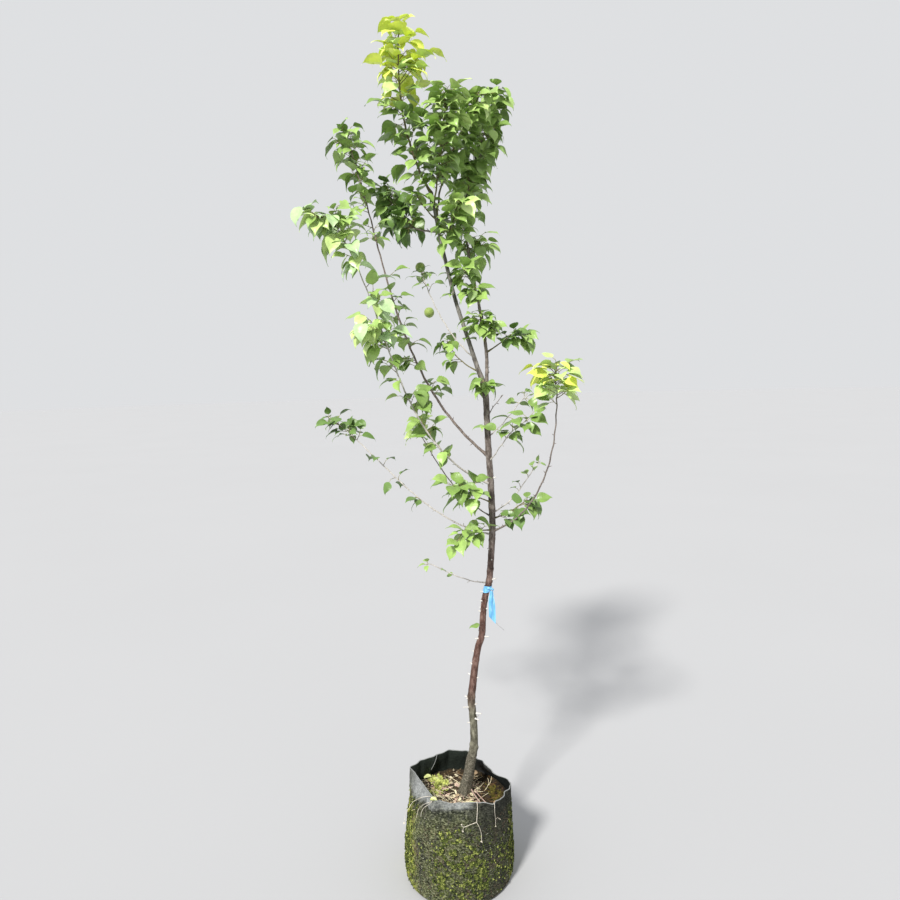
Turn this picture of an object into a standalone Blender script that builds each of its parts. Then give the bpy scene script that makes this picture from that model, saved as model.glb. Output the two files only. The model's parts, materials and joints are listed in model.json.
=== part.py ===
"""A young Aojiku Japanese apricot tree in a fabric grow bag.

Metres, +Z up. The origin is the centre of the bag's flat underside. Compass angles are in
degrees: 0 points along +X, 90 along +Y, and a rise is measured up from level.

A slim trunk with an S bend stands in the filled bag and forks into two stems. Boughs leave them
as single tapering arcs. Each mass of leaves grows on one stem of its own, which carries on from
a bough's tip or starts at the trunk: short spurs stand round the stem, and each spur holds a
rosette of leaves.
"""

import math
import random
from collections import namedtuple

import bmesh
import bpy
from mathutils import Matrix, Vector
from mathutils.bvhtree import BVHTree

CLEARANCE = 0.0003      # room between pieces that touch on the real plant
GOLDEN_ANGLE = 137.5    # turn from one spur, leaf or stub to the next
SEED = 11
CRISP_ANGLE = 46        # edges sharper than this stay crisp, degrees

# Grow bag: a soft round bag whose rim has slumped into flat panels between corners
BAG_FLOOR_RADIUS = 0.144
BAG_BELLY_RADIUS = 0.147
BAG_SHOULDER_RADIUS = 0.1435
BAG_BELLY_HEIGHT = 0.085
BAG_SHOULDER_HEIGHT = 0.195
BAG_HEIGHT = 0.263
BAG_FOOT_ROUND = 0.012
BAG_WALL = 0.004
BAG_PANEL_TURN = 15.0   # widest step round the bag, degrees
# The rim's corners: compass angle, radius, height above BAG_HEIGHT
RIM_CORNERS = ((3, 0.108, -0.002), (44, 0.099, 0.001), (76, 0.124, 0.001), (100, 0.127, 0.003),
               (118, 0.118, 0.002), (143, 0.129, 0.001), (159, 0.142, 0.000), (240, 0.113, -0.001),
               (262, 0.111, -0.002), (296, 0.119, -0.002), (307, 0.150, 0.001), (321, 0.152, -0.003),
               (336, 0.153, -0.005), (346, 0.147, -0.003), (355, 0.138, -0.002))

# Potting mix
SOIL_LEVEL = 0.2
SOIL_ROUGHNESS = 0.004
SEAT_RADIUS = 0.036     # the flat patch that the trunk's cut foot stands on

# Trunk and its left leader: height, east, north, diameter
TRUNK_STATIONS = (
    (SOIL_LEVEL + CLEARANCE, 0.0215, 0.022, 0.0390), (0.23, 0.0260, 0.022, 0.0318),
    (0.26, 0.0333, 0.022, 0.0300), (0.29, 0.0382, 0.023, 0.0288), (0.32, 0.0454, 0.023, 0.0260),
    (0.345, 0.0490, 0.024, 0.0232), (0.385, 0.0492, 0.026, 0.0218), (0.43, 0.0468, 0.028, 0.0214),
    (0.465, 0.0444, 0.029, 0.0226), (0.50, 0.0486, 0.030, 0.0216), (0.56, 0.0572, 0.034, 0.0200),
    (0.61, 0.0668, 0.037, 0.0188), (0.64, 0.0770, 0.038, 0.0190), (0.70, 0.0822, 0.041, 0.0178),
    (0.745, 0.0882, 0.042, 0.0174), (0.785, 0.0998, 0.044, 0.0180), (0.83, 0.1050, 0.046, 0.0182),
    (0.925, 0.1122, 0.050, 0.0184), (0.965, 0.1128, 0.052, 0.0184), (1.06, 0.1105, 0.057, 0.0182),
    (1.14, 0.107, 0.061, 0.0178), (1.22, 0.105, 0.066, 0.0173), (1.30, 0.101, 0.071, 0.0168),
    (1.36, 0.082, 0.076, 0.0130), (1.45, 0.055, 0.083, 0.0114), (1.53, 0.031, 0.090, 0.0108),
    (1.62, 0.0105, 0.098, 0.0102), (1.735, -0.0125, 0.110, 0.0094), (1.814, -0.0245, 0.118, 0.0086))
TRUNK_SIDES = 9
FLARE_RING = 0.012      # height of the ring where the root flare turns into the trunk
ROOT_LOBES = 4          # low ridges where the root flare starts
ROOT_LOBE_HEIGHT = 0.07
ROOT_LOBE_DEPTH = 0.16
STUB_COUNT = 20         # short dead spurs that stand out like thorns
STUB_HEIGHTS = (0.40, 1.20)
STUB_LENGTHS = (0.007, 0.016)
STUB_RADIUS = 0.0019

# Plastic marker tape: a band round the trunk with a knot and a hanging tail
TAPE_HEIGHT = 0.768
TAPE_BAND = 0.016
TAPE_THICKNESS = 0.0012
TAPE_WIDTH = 0.016
TAPE_TAIL = 0.092
TAPE_SLANT = 0.76       # share of the tail where its slanting cut starts
TAPE_SIDE = 318         # compass angle of the knot
TAPE_FACE = 285         # compass angle that the tail faces
TAPE_KNOT = ((-0.008, 0.0035), (0.0, 0.0055), (0.006, 0.0030))  # height from its middle, radius
TAPE_STEPS = 12         # round the band
TAIL_STEPS = 8          # down the tail

# A limb is an arc: its compass angle changes evenly from foot to tip, and its rise follows a curve
# through the rise at its foot, middle and tip. It is bare up to a share of its length. From there on
# it is the stem of a mass of leaves, in zones: from share, to share, number of spurs on the plant,
# spur length, leaves on a spur, and the compass angle that the spurs face unless they stand all
# round. The column leaf scales the leaves.
Limb = namedtuple("Limb", "name parent height compass rise length diameters leaf bare zones")
LIMBS = (
    Limb("right_stem", "trunk", 1.283, (180, 10), (98, 66, 72), 0.888, (0.0118, 0.0034),
         0.90, 0.38, ((0.39, 0.44, 3, 0.058, 3, 335), (0.42, 0.62, 9, 0.032, 3),
          (0.62, 0.80, 19, 0.044, 4), (0.80, 1.00, 17, 0.038, 4))),
    Limb("top", "trunk", 1.811, (195, 197), (57, 82, 95), 0.428, (0.0082, 0.0034),
         1.05, 0.0, ((0.08, 0.30, 9, 0.026, 3), (0.31, 0.60, 15, 0.040, 4), (0.60, 0.86, 16, 0.046, 4),
          (0.66, 0.80, 4, 0.070, 3, 0), (0.88, 1.00, 5, 0.020, 3))),
    Limb("top_middle", "trunk", 1.783, (300, 296), (64, 72, 76), 0.264, (0.0052, 0.0032),
         0.90, 0.0, ((0.15, 0.58, 12, 0.034, 3), (0.60, 1.00, 14, 0.030, 4))),
    Limb("top_right", "trunk", 1.735, (77, -14), (78, 65, 59), 0.378, (0.0066, 0.0032),
         0.90, 0.36, ((0.38, 0.75, 13, 0.042, 4), (0.75, 1.00, 9, 0.032, 4))),
    Limb("back_left", "trunk", 1.714, (135, 129), (6, 35, 72), 0.286, (0.0060, 0.0032),
         0.90, 0.30, ((0.32, 0.62, 9, 0.038, 4), (0.62, 0.92, 9, 0.032, 4))),
    Limb("leader_left", "trunk", 1.745, (202, 202), (35, 48, 62), 0.080, (0.0042, 0.0030),
         0.85, 0.0, ((0.45, 1.00, 4, 0.018, 3),)),
    Limb("leader_right", "trunk", 1.665, (309, 313), (54, 58, 62), 0.125, (0.0048, 0.0030),
         0.95, 0.0, ((0.16, 1.00, 11, 0.028, 4),)),
    Limb("right_stem_left", "right_stem", 1.575, (226, 226), (35, 43, 52), 0.055, (0.0040, 0.0030),
         1.0, 0.0, ((0.35, 1.00, 5, 0.022, 3),)),
    Limb("right_stem_middle", "right_stem", 1.515, (240, 240), (25, 40, 55), 0.040, (0.0036, 0.0030),
         0.95, 0.0, ((0.40, 1.00, 4, 0.014, 2),)),
    Limb("right_stem_low", "right_stem", 1.425, (250, 238), (50, 66, 74), 0.078, (0.0038, 0.0030),
         0.85, 0.0, ((0.25, 0.55, 3, 0.026, 3, 330), (0.50, 1.00, 5, 0.018, 3))),
    Limb("upper_left", "trunk", 1.121, (158, 158), (36, 72, 70), 0.972, (0.0088, 0.0034),
         0.90, 0.20, ((0.22, 0.27, 2, 0.030, 3, 10), (0.31, 0.36, 3, 0.030, 3, 190),
          (0.37, 0.44, 3, 0.020, 3), (0.46, 0.54, 4, 0.024, 3), (0.58, 0.62, 1, 0.022, 2, 0),
          (0.69, 0.74, 3, 0.026, 3), (0.77, 0.83, 3, 0.036, 3, 180), (0.84, 0.93, 7, 0.034, 3),
          (0.94, 1.00, 6, 0.044, 4))),
    Limb("left", "trunk", 1.048, (203, 202), (20, 69, 56), 0.790, (0.0060, 0.0030),
         0.95, 0.16, ((0.17, 0.22, 2, 0.014, 2, 60), (0.26, 0.33, 4, 0.022, 2, 40),
          (0.36, 0.42, 3, 0.030, 3, 20), (0.40, 0.42, 1, 0.030, 2, 190), (0.45, 0.48, 1, 0.012, 3, 190),
          (0.50, 0.54, 2, 0.040, 2, 190), (0.56, 0.60, 1, 0.014, 2, 10), (0.58, 0.66, 6, 0.056, 4, 200),
          (0.60, 0.66, 2, 0.020, 3, 20), (0.69, 0.75, 3, 0.022, 3, 10), (0.77, 0.79, 1, 0.016, 1, 10),
          (0.83, 0.89, 4, 0.030, 3), (0.90, 1.00, 9, 0.044, 4), (0.96, 1.00, 3, 0.072, 4, 195))),
    Limb("fruiting", "trunk", 1.382, (127, 127), (28, 49, 62), 0.345, (0.0044, 0.0030),
         0.80, 0.30, ((0.33, 0.40, 1, 0.012, 2), (0.80, 0.88, 2, 0.028, 2), (0.92, 1.00, 2, 0.014, 3))),
    Limb("fork_right", "right_stem", 1.391, (15, 10), (28, 30, 4), 0.115, (0.0044, 0.0030),
         0.80, 0.36, ((0.38, 0.50, 1, 0.020, 2, 270), (0.45, 0.70, 3, 0.020, 3, 250),
          (0.80, 1.00, 3, 0.018, 3, 0))),
    Limb("fork_left", "trunk", 1.345, (150, 140), (20, 40, 60), 0.130, (0.0040, 0.0030),
         0.75, 0.0, ((0.40, 0.70, 2, 0.020, 2, 200), (0.85, 1.00, 3, 0.014, 3))),
    Limb("trunk_front", "trunk", 1.285, (262, 262), (15, 45, 70), 0.048, (0.0038, 0.0030),
         0.95, 0.0, ((0.60, 1.00, 3, 0.010, 3),)),
    Limb("thin_left", "trunk", 0.960, (163, 164), (25, 53, 61), 0.326, (0.0040, 0.0028),
         0.80, 0.74, ((0.78, 1.00, 4, 0.018, 3),)),
    Limb("thin_left_base", "trunk", 0.998, (225, 216), (22, 27, 31), 0.124, (0.0040, 0.0030),
         1.0, 0.0, ((0.35, 1.00, 6, 0.030, 3),)),
    Limb("low_left", "trunk", 0.913, (163, 161), (7, 41, 33), 0.575, (0.0050, 0.0028),
         0.80, 0.36, ((0.37, 0.40, 1, 0.016, 2, 270), (0.50, 0.56, 2, 0.018, 1),
          (0.62, 0.70, 2, 0.018, 1), (0.80, 0.97, 6, 0.022, 3))),
    Limb("low_left_base", "trunk", 0.925, (222, 222), (10, 5, -10), 0.115, (0.0040, 0.0030),
         0.85, 0.0, ((0.35, 1.00, 6, 0.024, 3),)),
    Limb("lowest", "trunk", 0.783, (186, 185), (2, 25, 26), 0.176, (0.0036, 0.0028),
         0.55, 0.36, ((0.50, 0.60, 1, 0.006, 1, 100), (0.62, 0.75, 1, 0.006, 1, 260),
          (0.92, 1.00, 1, 0.006, 2, 190))),
    Limb("right", "trunk", 0.922, (324, 297), (21, 66, 96), 0.500, (0.0058, 0.0032),
         0.95, 0.72, ((0.84, 0.94, 5, 0.040, 3), (0.94, 1.00, 6, 0.044, 3))),
    Limb("right_low", "trunk", 0.957, (353, 353), (10, 30, 38), 0.105, (0.0040, 0.0030),
         0.85, 0.0, ((0.12, 0.30, 2, 0.018, 2, 270), (0.50, 0.75, 2, 0.018, 2, 270),
          (0.85, 1.00, 2, 0.018, 3, 0))),
    Limb("right_back", "trunk", 0.973, (32, 34), (6, 42, 38), 0.205, (0.0036, 0.0026),
         0.65, 0.46, ((0.48, 0.58, 2, 0.014, 1, 180), (0.72, 0.90, 2, 0.014, 2, 200))),
    Limb("right_front", "trunk", 1.107, (305, 302), (39, 41, 14), 0.195, (0.0036, 0.0026),
         0.90, 0.42, ((0.45, 0.60, 1, 0.045, 2, 180), (0.45, 1.00, 6, 0.026, 3))),
    Limb("right_upper", "trunk", 1.173, (34, 34), (26, 41, 38), 0.178, (0.0034, 0.0024),
         0.65, 0.66, ((0.74, 1.00, 3, 0.020, 3),)),
    Limb("bare_twig", "trunk", 1.225, (46, 46), (45, 39, 33), 0.090, (0.0028, 0.0020),
         1.0, 1.0, ()),
)
LIMB_STEPS = 40         # steps that an arc is worked out in
BOUGH_SIDES = 6
BOUGH_RING_STEP = 0.045
STEM_SIDES = 5
STEM_RING_STEP = 0.04

# Spurs and leaves
SPUR_SHARE = 0.55       # share of the plant's spurs that the solids have
SPUR_RADIUS = 0.0014
SPUR_LENGTHS = (0.5, 1.25)  # shares of the zone's spur length
SPUR_LEAN = (38, 74)    # angle between a spur and its stem
SIDE_SPREAD = 35        # how far a spur turns from the side that its zone faces
LEAF_LENGTHS = (0.044, 0.062)
LEAF_WIDTH = 0.70       # share of the length
LEAF_STALK = 0.13       # share of the length before the blade starts
LEAF_STALK_WIDTH = 0.0018
LEAF_SHOULDER = 0.44    # where the blade is widest
LEAF_FOLD = 24          # how far each half rises from the midrib
LEAF_KEEL = 0.0012      # thickness at the midrib
LEAF_DROOP = (0.15, 0.62)
LEAF_SPREAD = (42, 82)  # angle between a leaf and its spur
LEAF_TRIES = 6          # poses tried before a leaf is left out
SPACE_MARGIN = 0.003    # a mass keeps this much nearer to its own stem than to any other
TOUCH = 0.0012          # room kept round a leaf or a spur

# Fruit on the fruiting shoot: share along its stem, compass angle, rise, reach to the fruit's centre
FRUIT_DIAMETER = 0.029
FRUIT_PLACES = ((0.58, 188, 5, 0.027), (0.99, 130, 72, 0.020))

COLOURS = {             # base colour, roughness
    "bag": ((0.10, 0.105, 0.085), 0.95), "soil": ((0.20, 0.13, 0.075), 0.95),
    "bark": ((0.17, 0.12, 0.09), 0.85), "shoot": ((0.21, 0.16, 0.11), 0.75),
    "leaf": ((0.22, 0.38, 0.06), 0.5), "tape": ((0.10, 0.42, 0.75), 0.4),
}


def compass(angle, rise=0.0):
    """Unit vector at a compass angle and a rise, both in degrees."""
    a, e = math.radians(angle), math.radians(rise)
    return Vector((math.cos(e) * math.cos(a), math.cos(e) * math.sin(a), math.sin(e)))


def lerp(pair, share):
    return pair[0] + (pair[1] - pair[0]) * share


def material(name):
    found = bpy.data.materials.get(name)
    if found:
        return found
    colour, roughness = COLOURS[name]
    made = bpy.data.materials.new(name)
    made.use_nodes = True
    shader = made.node_tree.nodes["Principled BSDF"]
    shader.inputs["Base Color"].default_value = (*colour, 1.0)
    shader.inputs["Roughness"].default_value = roughness
    shader.inputs["Metallic"].default_value = 0.0
    return made


def solid(name, points, faces, origin=Vector(), finish=None, root=None):
    """One object from points and faces, with its origin where it is held."""
    mesh = bpy.data.meshes.new(name)
    mesh.from_pydata([Vector(p) - origin for p in points], [], faces)
    mesh.validate()
    if finish:
        mesh.materials.append(material(finish))
    made = bpy.data.objects.new(name, mesh)
    made.location = origin
    made.parent = root
    bpy.context.scene.collection.objects.link(made)
    return made


def cross_frame(direction):
    """Two unit vectors square to a direction."""
    side = direction.cross(Vector((0, 0, 1)))
    if side.length < 1e-4:
        side = Vector((1, 0, 0))
    side.normalize()
    return side, side.cross(direction).normalized()


def tube_shape(centres, radii, sides, stretch=None, course=None):
    """Points and triangles of a closed tapering tube. stretch(ring, angle) scales a radius.

    The rings stand square to the course, one direction a ring, or to the line through the centres.
    """
    points, faces = [], []
    side, up = cross_frame((centres[1] - centres[0]).normalized())
    for k, centre in enumerate(centres):
        ahead = centres[min(k + 1, len(centres) - 1)] - centres[max(k - 1, 0)]
        ahead = (course[k] if course else ahead).normalized()
        side = (side - ahead * side.dot(ahead)).normalized()
        up = side.cross(ahead)
        for s in range(sides):
            angle = 2 * math.pi * s / sides
            radius = radii[k] * (stretch(k, angle) if stretch else 1.0)
            points.append(centre + (side * math.cos(angle) - up * math.sin(angle)) * radius)
    for k in range(len(centres) - 1):
        for s in range(sides):
            a, b = k * sides + s, k * sides + (s + 1) % sides
            faces += [(a, b, b + sides), (a, b + sides, a + sides)]
    last = (len(centres) - 1) * sides
    faces.append(tuple(reversed(range(sides))))
    faces.append(tuple(range(last, last + sides)))
    return points, faces


def joined(body, pieces, solver="EXACT"):
    """Fuse loose pieces to a body, as one closed solid."""
    group = bpy.data.collections.new("pieces")
    bpy.context.scene.collection.children.link(group)
    for piece in pieces:
        bpy.context.scene.collection.objects.unlink(piece)
        group.objects.link(piece)
    union = body.modifiers.new("join", "BOOLEAN")
    union.operation = "UNION"
    union.operand_type = "COLLECTION"
    union.collection = group
    union.solver = solver
    apply_modifiers(body)
    merge_flat_faces(body)
    for piece in list(group.objects):
        bpy.data.objects.remove(piece)
    bpy.data.collections.remove(group)
    return body


def cut(body, cutter):
    """Cut a body back from its neighbour's swollen copy."""
    difference = body.modifiers.new("cut", "BOOLEAN")
    difference.operation = "DIFFERENCE"
    difference.object = cutter
    difference.solver = "EXACT"
    apply_modifiers(body)


def apply_modifiers(body):
    bpy.context.view_layer.update()
    held = bpy.context.evaluated_depsgraph_get()
    mesh = bpy.data.meshes.new_from_object(body.evaluated_get(held))
    body.modifiers.clear()
    body.data = mesh


def merge_flat_faces(body):
    """Merge the faces that lie in one plane, which a union leaves split."""
    shape = bmesh.new()
    shape.from_mesh(body.data)
    bmesh.ops.dissolve_limit(shape, angle_limit=math.radians(0.1), verts=shape.verts, edges=shape.edges)
    shape.to_mesh(body.data)
    shape.free()


def world_tree(body):
    """Search tree over a body's surface, in world space."""
    bpy.context.view_layer.update()
    place = body.matrix_world
    points = [place @ v.co for v in body.data.vertices]
    return BVHTree.FromPolygons(points, [p.vertices[:] for p in body.data.polygons])


def shape_tree(points, faces):
    return BVHTree.FromPolygons(points, faces)


# Grow bag and potting mix

def rim_corner(k):
    angle, radius, rise = RIM_CORNERS[k % len(RIM_CORNERS)]
    return compass(angle) * radius + Vector((0, 0, BAG_HEIGHT + rise))


def rim_points():
    """The rim's line: straight panels between the corners, split into steps round the bag."""
    points = []
    for k in range(len(RIM_CORNERS)):
        here, there = rim_corner(k), rim_corner(k + 1)
        turn = (RIM_CORNERS[(k + 1) % len(RIM_CORNERS)][0] - RIM_CORNERS[k][0]) % 360
        steps = max(1, math.ceil(turn / BAG_PANEL_TURN))
        points += [here.lerp(there, s / steps) for s in range(steps)]
    return points


def body_radius(height):
    """Radius of the bag's round body at a height."""
    if height < BAG_FOOT_ROUND:
        drop = 1 - height / BAG_FOOT_ROUND
        return BAG_FLOOR_RADIUS - BAG_FOOT_ROUND * (1 - math.sqrt(1 - drop * drop))
    if height < BAG_BELLY_HEIGHT:
        share = (height - BAG_FOOT_ROUND) / (BAG_BELLY_HEIGHT - BAG_FOOT_ROUND)
        return lerp((BAG_FLOOR_RADIUS, BAG_BELLY_RADIUS), math.sin(share * math.pi / 2))
    share = min(1, (height - BAG_BELLY_HEIGHT) / (BAG_SHOULDER_HEIGHT - BAG_BELLY_HEIGHT))
    return lerp((BAG_BELLY_RADIUS, BAG_SHOULDER_RADIUS), share * share)


def bag_ring(height, inset, rim):
    """One ring of the bag's wall, moved inward by inset."""
    slump = max(0.0, (height - BAG_SHOULDER_HEIGHT) / (BAG_HEIGHT - BAG_SHOULDER_HEIGHT))
    slump = slump * slump * (3 - 2 * slump)
    ring = []
    for corner in rim:
        level = Vector((corner.x, corner.y, 0))
        out = level.normalized()
        radius = lerp((body_radius(height), level.length), slump) - inset
        ring.append(out * radius + Vector((0, 0, height + (corner.z - BAG_HEIGHT) * slump)))
    return ring


def ring_faces(rings, count):
    """Quads between rings that run from the outside bottom up, and the end rings as caps."""
    faces = []
    for r in range(rings - 1):
        for k in range(count):
            a, b = r * count + k, r * count + (k + 1) % count
            faces.append((a, b, b + count, a + count))
    faces.append(tuple(reversed(range(count))))
    faces.append(tuple(range((rings - 1) * count, rings * count)))
    return faces


def make_bag(root):
    rim = rim_points()
    outer = (0.0, 0.0035, BAG_FOOT_ROUND, BAG_BELLY_HEIGHT, BAG_SHOULDER_HEIGHT, 0.229)
    inner = (0.229, BAG_SHOULDER_HEIGHT, BAG_BELLY_HEIGHT, BAG_FOOT_ROUND + BAG_WALL)
    rings = [bag_ring(h, 0, rim) for h in outer]
    rings.append(bag_ring(BAG_HEIGHT, 0, rim))
    rings.append(bag_ring(BAG_HEIGHT, BAG_WALL, rim))
    rings += [bag_ring(h, BAG_WALL, rim) for h in inner]
    floor = bag_ring(BAG_FOOT_ROUND, BAG_WALL + 0.006, rim)
    rings.append([Vector((p.x, p.y, BAG_WALL)) for p in floor])
    points = [p for ring in rings for p in ring]
    return solid("grow_bag", points, ring_faces(len(rings), len(rim)), Vector(), "bag", root)


def make_soil(root):
    """The filling: it follows the bag's inside, with a rough top and a flat seat for the trunk."""
    chance = random.Random(SEED)
    rim = rim_points()
    inset = BAG_WALL + CLEARANCE
    foot = bag_ring(BAG_FOOT_ROUND, inset + 0.006, rim)
    rings = [[Vector((p.x, p.y, BAG_WALL + CLEARANCE)) for p in foot]]
    for height in (BAG_FOOT_ROUND + BAG_WALL, BAG_BELLY_HEIGHT, BAG_SHOULDER_HEIGHT):
        rings.append(bag_ring(height, inset, rim))
    edge = rings[-1]
    trunk_foot = Vector((TRUNK_STATIONS[0][1], TRUNK_STATIONS[0][2], 0))
    for share in (0.3, 0.6, 0.8):
        ring = []
        for p in edge:
            out = Vector((p.x, p.y, 0)) - trunk_foot
            spot = trunk_foot + out.normalized() * lerp((out.length, SEAT_RADIUS), share)
            rise = lerp((edge[0].z, SOIL_LEVEL), min(1, share * 1.6))
            ring.append(Vector((spot.x, spot.y, rise + chance.uniform(-1, 0.4) * SOIL_ROUGHNESS)))
        rings.append(ring)
    seat = []
    for p in edge:
        out = (Vector((p.x, p.y, 0)) - trunk_foot).normalized()
        seat.append(trunk_foot + out * SEAT_RADIUS + Vector((0, 0, SOIL_LEVEL)))
    rings.append(seat)
    points = [p for ring in rings for p in ring]
    return solid("soil", points, ring_faces(len(rings), len(rim)), Vector(), "soil", root)


# Trunk

def trunk_at(height):
    """Centre and radius of the trunk at a height, on a smooth curve through its stations."""
    rows = TRUNK_STATIONS
    k = 0
    while k < len(rows) - 2 and height > rows[k + 1][0]:
        k += 1
    share = (height - rows[k][0]) / (rows[k + 1][0] - rows[k][0])
    values = []
    for c in (1, 2, 3):
        before, after = rows[max(k - 1, 0)], rows[min(k + 2, len(rows) - 1)]
        step = rows[k + 1][0] - rows[k][0]
        slope_a = (rows[k + 1][c] - before[c]) / (rows[k + 1][0] - before[0]) * step
        slope_b = (after[c] - rows[k][c]) / (after[0] - rows[k][0]) * step
        s2, s3 = share * share, share ** 3
        values.append((2 * s3 - 3 * s2 + 1) * rows[k][c] + (s3 - 2 * s2 + share) * slope_a
                      + (3 * s2 - 2 * s3) * rows[k + 1][c] + (s3 - s2) * slope_b)
    return Vector((values[0], values[1], height)), values[2] / 2


def trunk_rings():
    """Heights of the trunk's rings: the stations, with one more in the root flare."""
    heights = [row[0] for row in TRUNK_STATIONS]
    return [heights[0], heights[0] + FLARE_RING] + heights[1:]


def root_ridges(heights):
    """Radius factor that makes low ridges run out at the foot."""
    def stretch(ring, angle):
        fade = max(0.0, 1 - (heights[ring] - heights[0]) / ROOT_LOBE_HEIGHT)
        return 1 + ROOT_LOBE_DEPTH * fade * math.cos(ROOT_LOBES * angle + 0.6)
    return stretch


def trunk_shape(swell=0.0):
    heights = trunk_rings()
    centres, radii = zip(*(trunk_at(h) for h in heights))
    radii = [r + swell for r in radii]
    points, faces = tube_shape(list(centres), radii, TRUNK_SIDES, root_ridges(heights))
    for k in range(TRUNK_SIDES):        # the cut foot is flat, and so is the top
        points[k].z = heights[0] - swell
        points[-1 - k].z = heights[-1] + swell
    return points, faces


def make_trunk(root):
    chance = random.Random(SEED + 1)
    points, faces = trunk_shape()
    trunk = solid("trunk", points, faces, trunk_at(TRUNK_STATIONS[0][0])[0], "bark", root)
    feet = [limb.height for limb in LIMBS if limb.parent == "trunk"] + [TAPE_HEIGHT]
    stubs = []
    for k in range(STUB_COUNT):
        height = lerp(STUB_HEIGHTS, (k + chance.uniform(0.2, 0.8)) / STUB_COUNT)
        if min(abs(height - foot) for foot in feet) < 0.02:
            continue
        centre, radius = trunk_at(height)
        out = compass(k * GOLDEN_ANGLE, chance.uniform(5, 35))
        reach = radius + chance.uniform(*STUB_LENGTHS)
        line = [centre + out * radius * 0.4, centre + out * reach]
        stubs.append(solid("stub", *tube_shape(line, [STUB_RADIUS, STUB_RADIUS * 0.5], 4)))
    return joined(trunk, stubs)


def make_tape(root, trunk_cutter):
    """A band round the trunk, with a knot and a tail that hangs and ends in a slanting cut."""
    rings = []
    for rise in (-0.5, 0.5):
        centre, radius = trunk_at(TAPE_HEIGHT + TAPE_BAND * rise)
        radius += 2.5 * CLEARANCE
        for thick in (0.0, TAPE_THICKNESS):
            rings.append([centre + compass(360 * k / TAPE_STEPS) * (radius + thick)
                          for k in range(TAPE_STEPS)])
    low_in, low_out, high_in, high_out = rings
    points = low_in + low_out + high_out + high_in
    faces = []
    for r in range(4):
        for k in range(TAPE_STEPS):
            a, b = r * TAPE_STEPS + k, r * TAPE_STEPS + (k + 1) % TAPE_STEPS
            above = TAPE_STEPS if r < 3 else -3 * TAPE_STEPS
            faces.append((a, b, b + above, a + above))
    band = solid("marker_tape", points, faces, Vector(), "tape", root)

    centre, radius = trunk_at(TAPE_HEIGHT)
    out = compass(TAPE_SIDE)
    start = centre + out * (radius + TAPE_THICKNESS)
    line = [start + Vector((0, 0, height)) + out * (size * 0.5) for height, size in TAPE_KNOT]
    knot = solid("knot", *tube_shape(line, [size for _, size in TAPE_KNOT], 6))
    tail_points, tail_faces = [], []
    face, across = compass(TAPE_FACE), compass(TAPE_FACE + 90) * TAPE_WIDTH
    for k in range(TAIL_STEPS + 1):
        share = k / TAIL_STEPS
        left = start + face * (0.003 + 0.004 * math.sin(share * 3)) - across * 0.4
        left.z -= TAPE_TAIL * share
        slant = max(0.0, (share - TAPE_SLANT) / (1 - TAPE_SLANT))
        right = left + across * lerp((0.62, 1.0), min(1.0, share / TAPE_SLANT) - 0.1 * slant)
        left += across * 0.9 * slant
        tail_points += [left, right, right + face * TAPE_THICKNESS, left + face * TAPE_THICKNESS]
    for k in range(TAIL_STEPS):
        for s in range(4):
            a, b = k * 4 + s, k * 4 + (s + 1) % 4
            tail_faces.append((a, a + 4, b + 4, b))
    last = TAIL_STEPS * 4
    tail_faces += [(0, 1, 2, 3), (last + 3, last + 2, last + 1, last)]
    tail = solid("tail", tail_points, tail_faces)
    joined(band, [knot, tail])
    cut(band, trunk_cutter)
    return band


# Limbs

def limb_rise(limb, share):
    """Rise at a share of the length, on the curve through the rise at foot, middle and tip."""
    foot, middle, tip = limb.rise
    return ((1 - share) * (1 - 2 * share) * foot + 4 * share * (1 - share) * middle
            + share * (2 * share - 1) * tip)


def limb_path(limb, paths):
    """Centre points of a limb, from its foot on the parent stem's axis to its tip."""
    if limb.parent == "trunk":
        foot = trunk_at(limb.height)[0]
    else:
        foot = min(paths[limb.parent], key=lambda p: abs(p.z - limb.height)).copy()
    path = [foot]
    for k in range(LIMB_STEPS):
        share = (k + 0.5) / LIMB_STEPS
        ahead = compass(lerp(limb.compass, share), limb_rise(limb, share))
        path.append(path[-1] + ahead * (limb.length / LIMB_STEPS))
    return path


def along(path, share):
    """Point and direction at a share of a path's length."""
    spot = min(max(share, 0.0), 1.0) * (len(path) - 1)
    k = min(int(spot), len(path) - 2)
    return path[k].lerp(path[k + 1], spot - k), (path[k + 1] - path[k]).normalized()


def limb_radius(limb, share):
    return lerp(limb.diameters, share ** 0.8) / 2


def limb_piece(limb, path, start, end, sides, ring_step, name, finish, root):
    """The stretch of a limb between two shares, as a tapering tube."""
    count = max(2, math.ceil((end - start) * limb.length / ring_step))
    shares = [lerp((start, end), k / count) for k in range(count + 1)]
    centres, course = zip(*(along(path, s) for s in shares))
    radii = [limb_radius(limb, s) for s in shares]
    shape = tube_shape(centres, radii, sides, course=course)
    return solid(name, *shape, centres[0].copy(), finish, root)


def swollen(limb, path):
    """A copy of a stem, CLEARANCE wider, that cuts the feet of the limbs on it."""
    count = math.ceil(limb.bare * limb.length / BOUGH_RING_STEP)
    shares = [limb.bare * k / count for k in range(count + 1)]
    points, faces = tube_shape([along(path, s)[0] for s in shares],
                               [limb_radius(limb, s) + 1.3 * CLEARANCE for s in shares], BOUGH_SIDES)
    return solid("cutter", points, faces)


# Leaves

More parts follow.
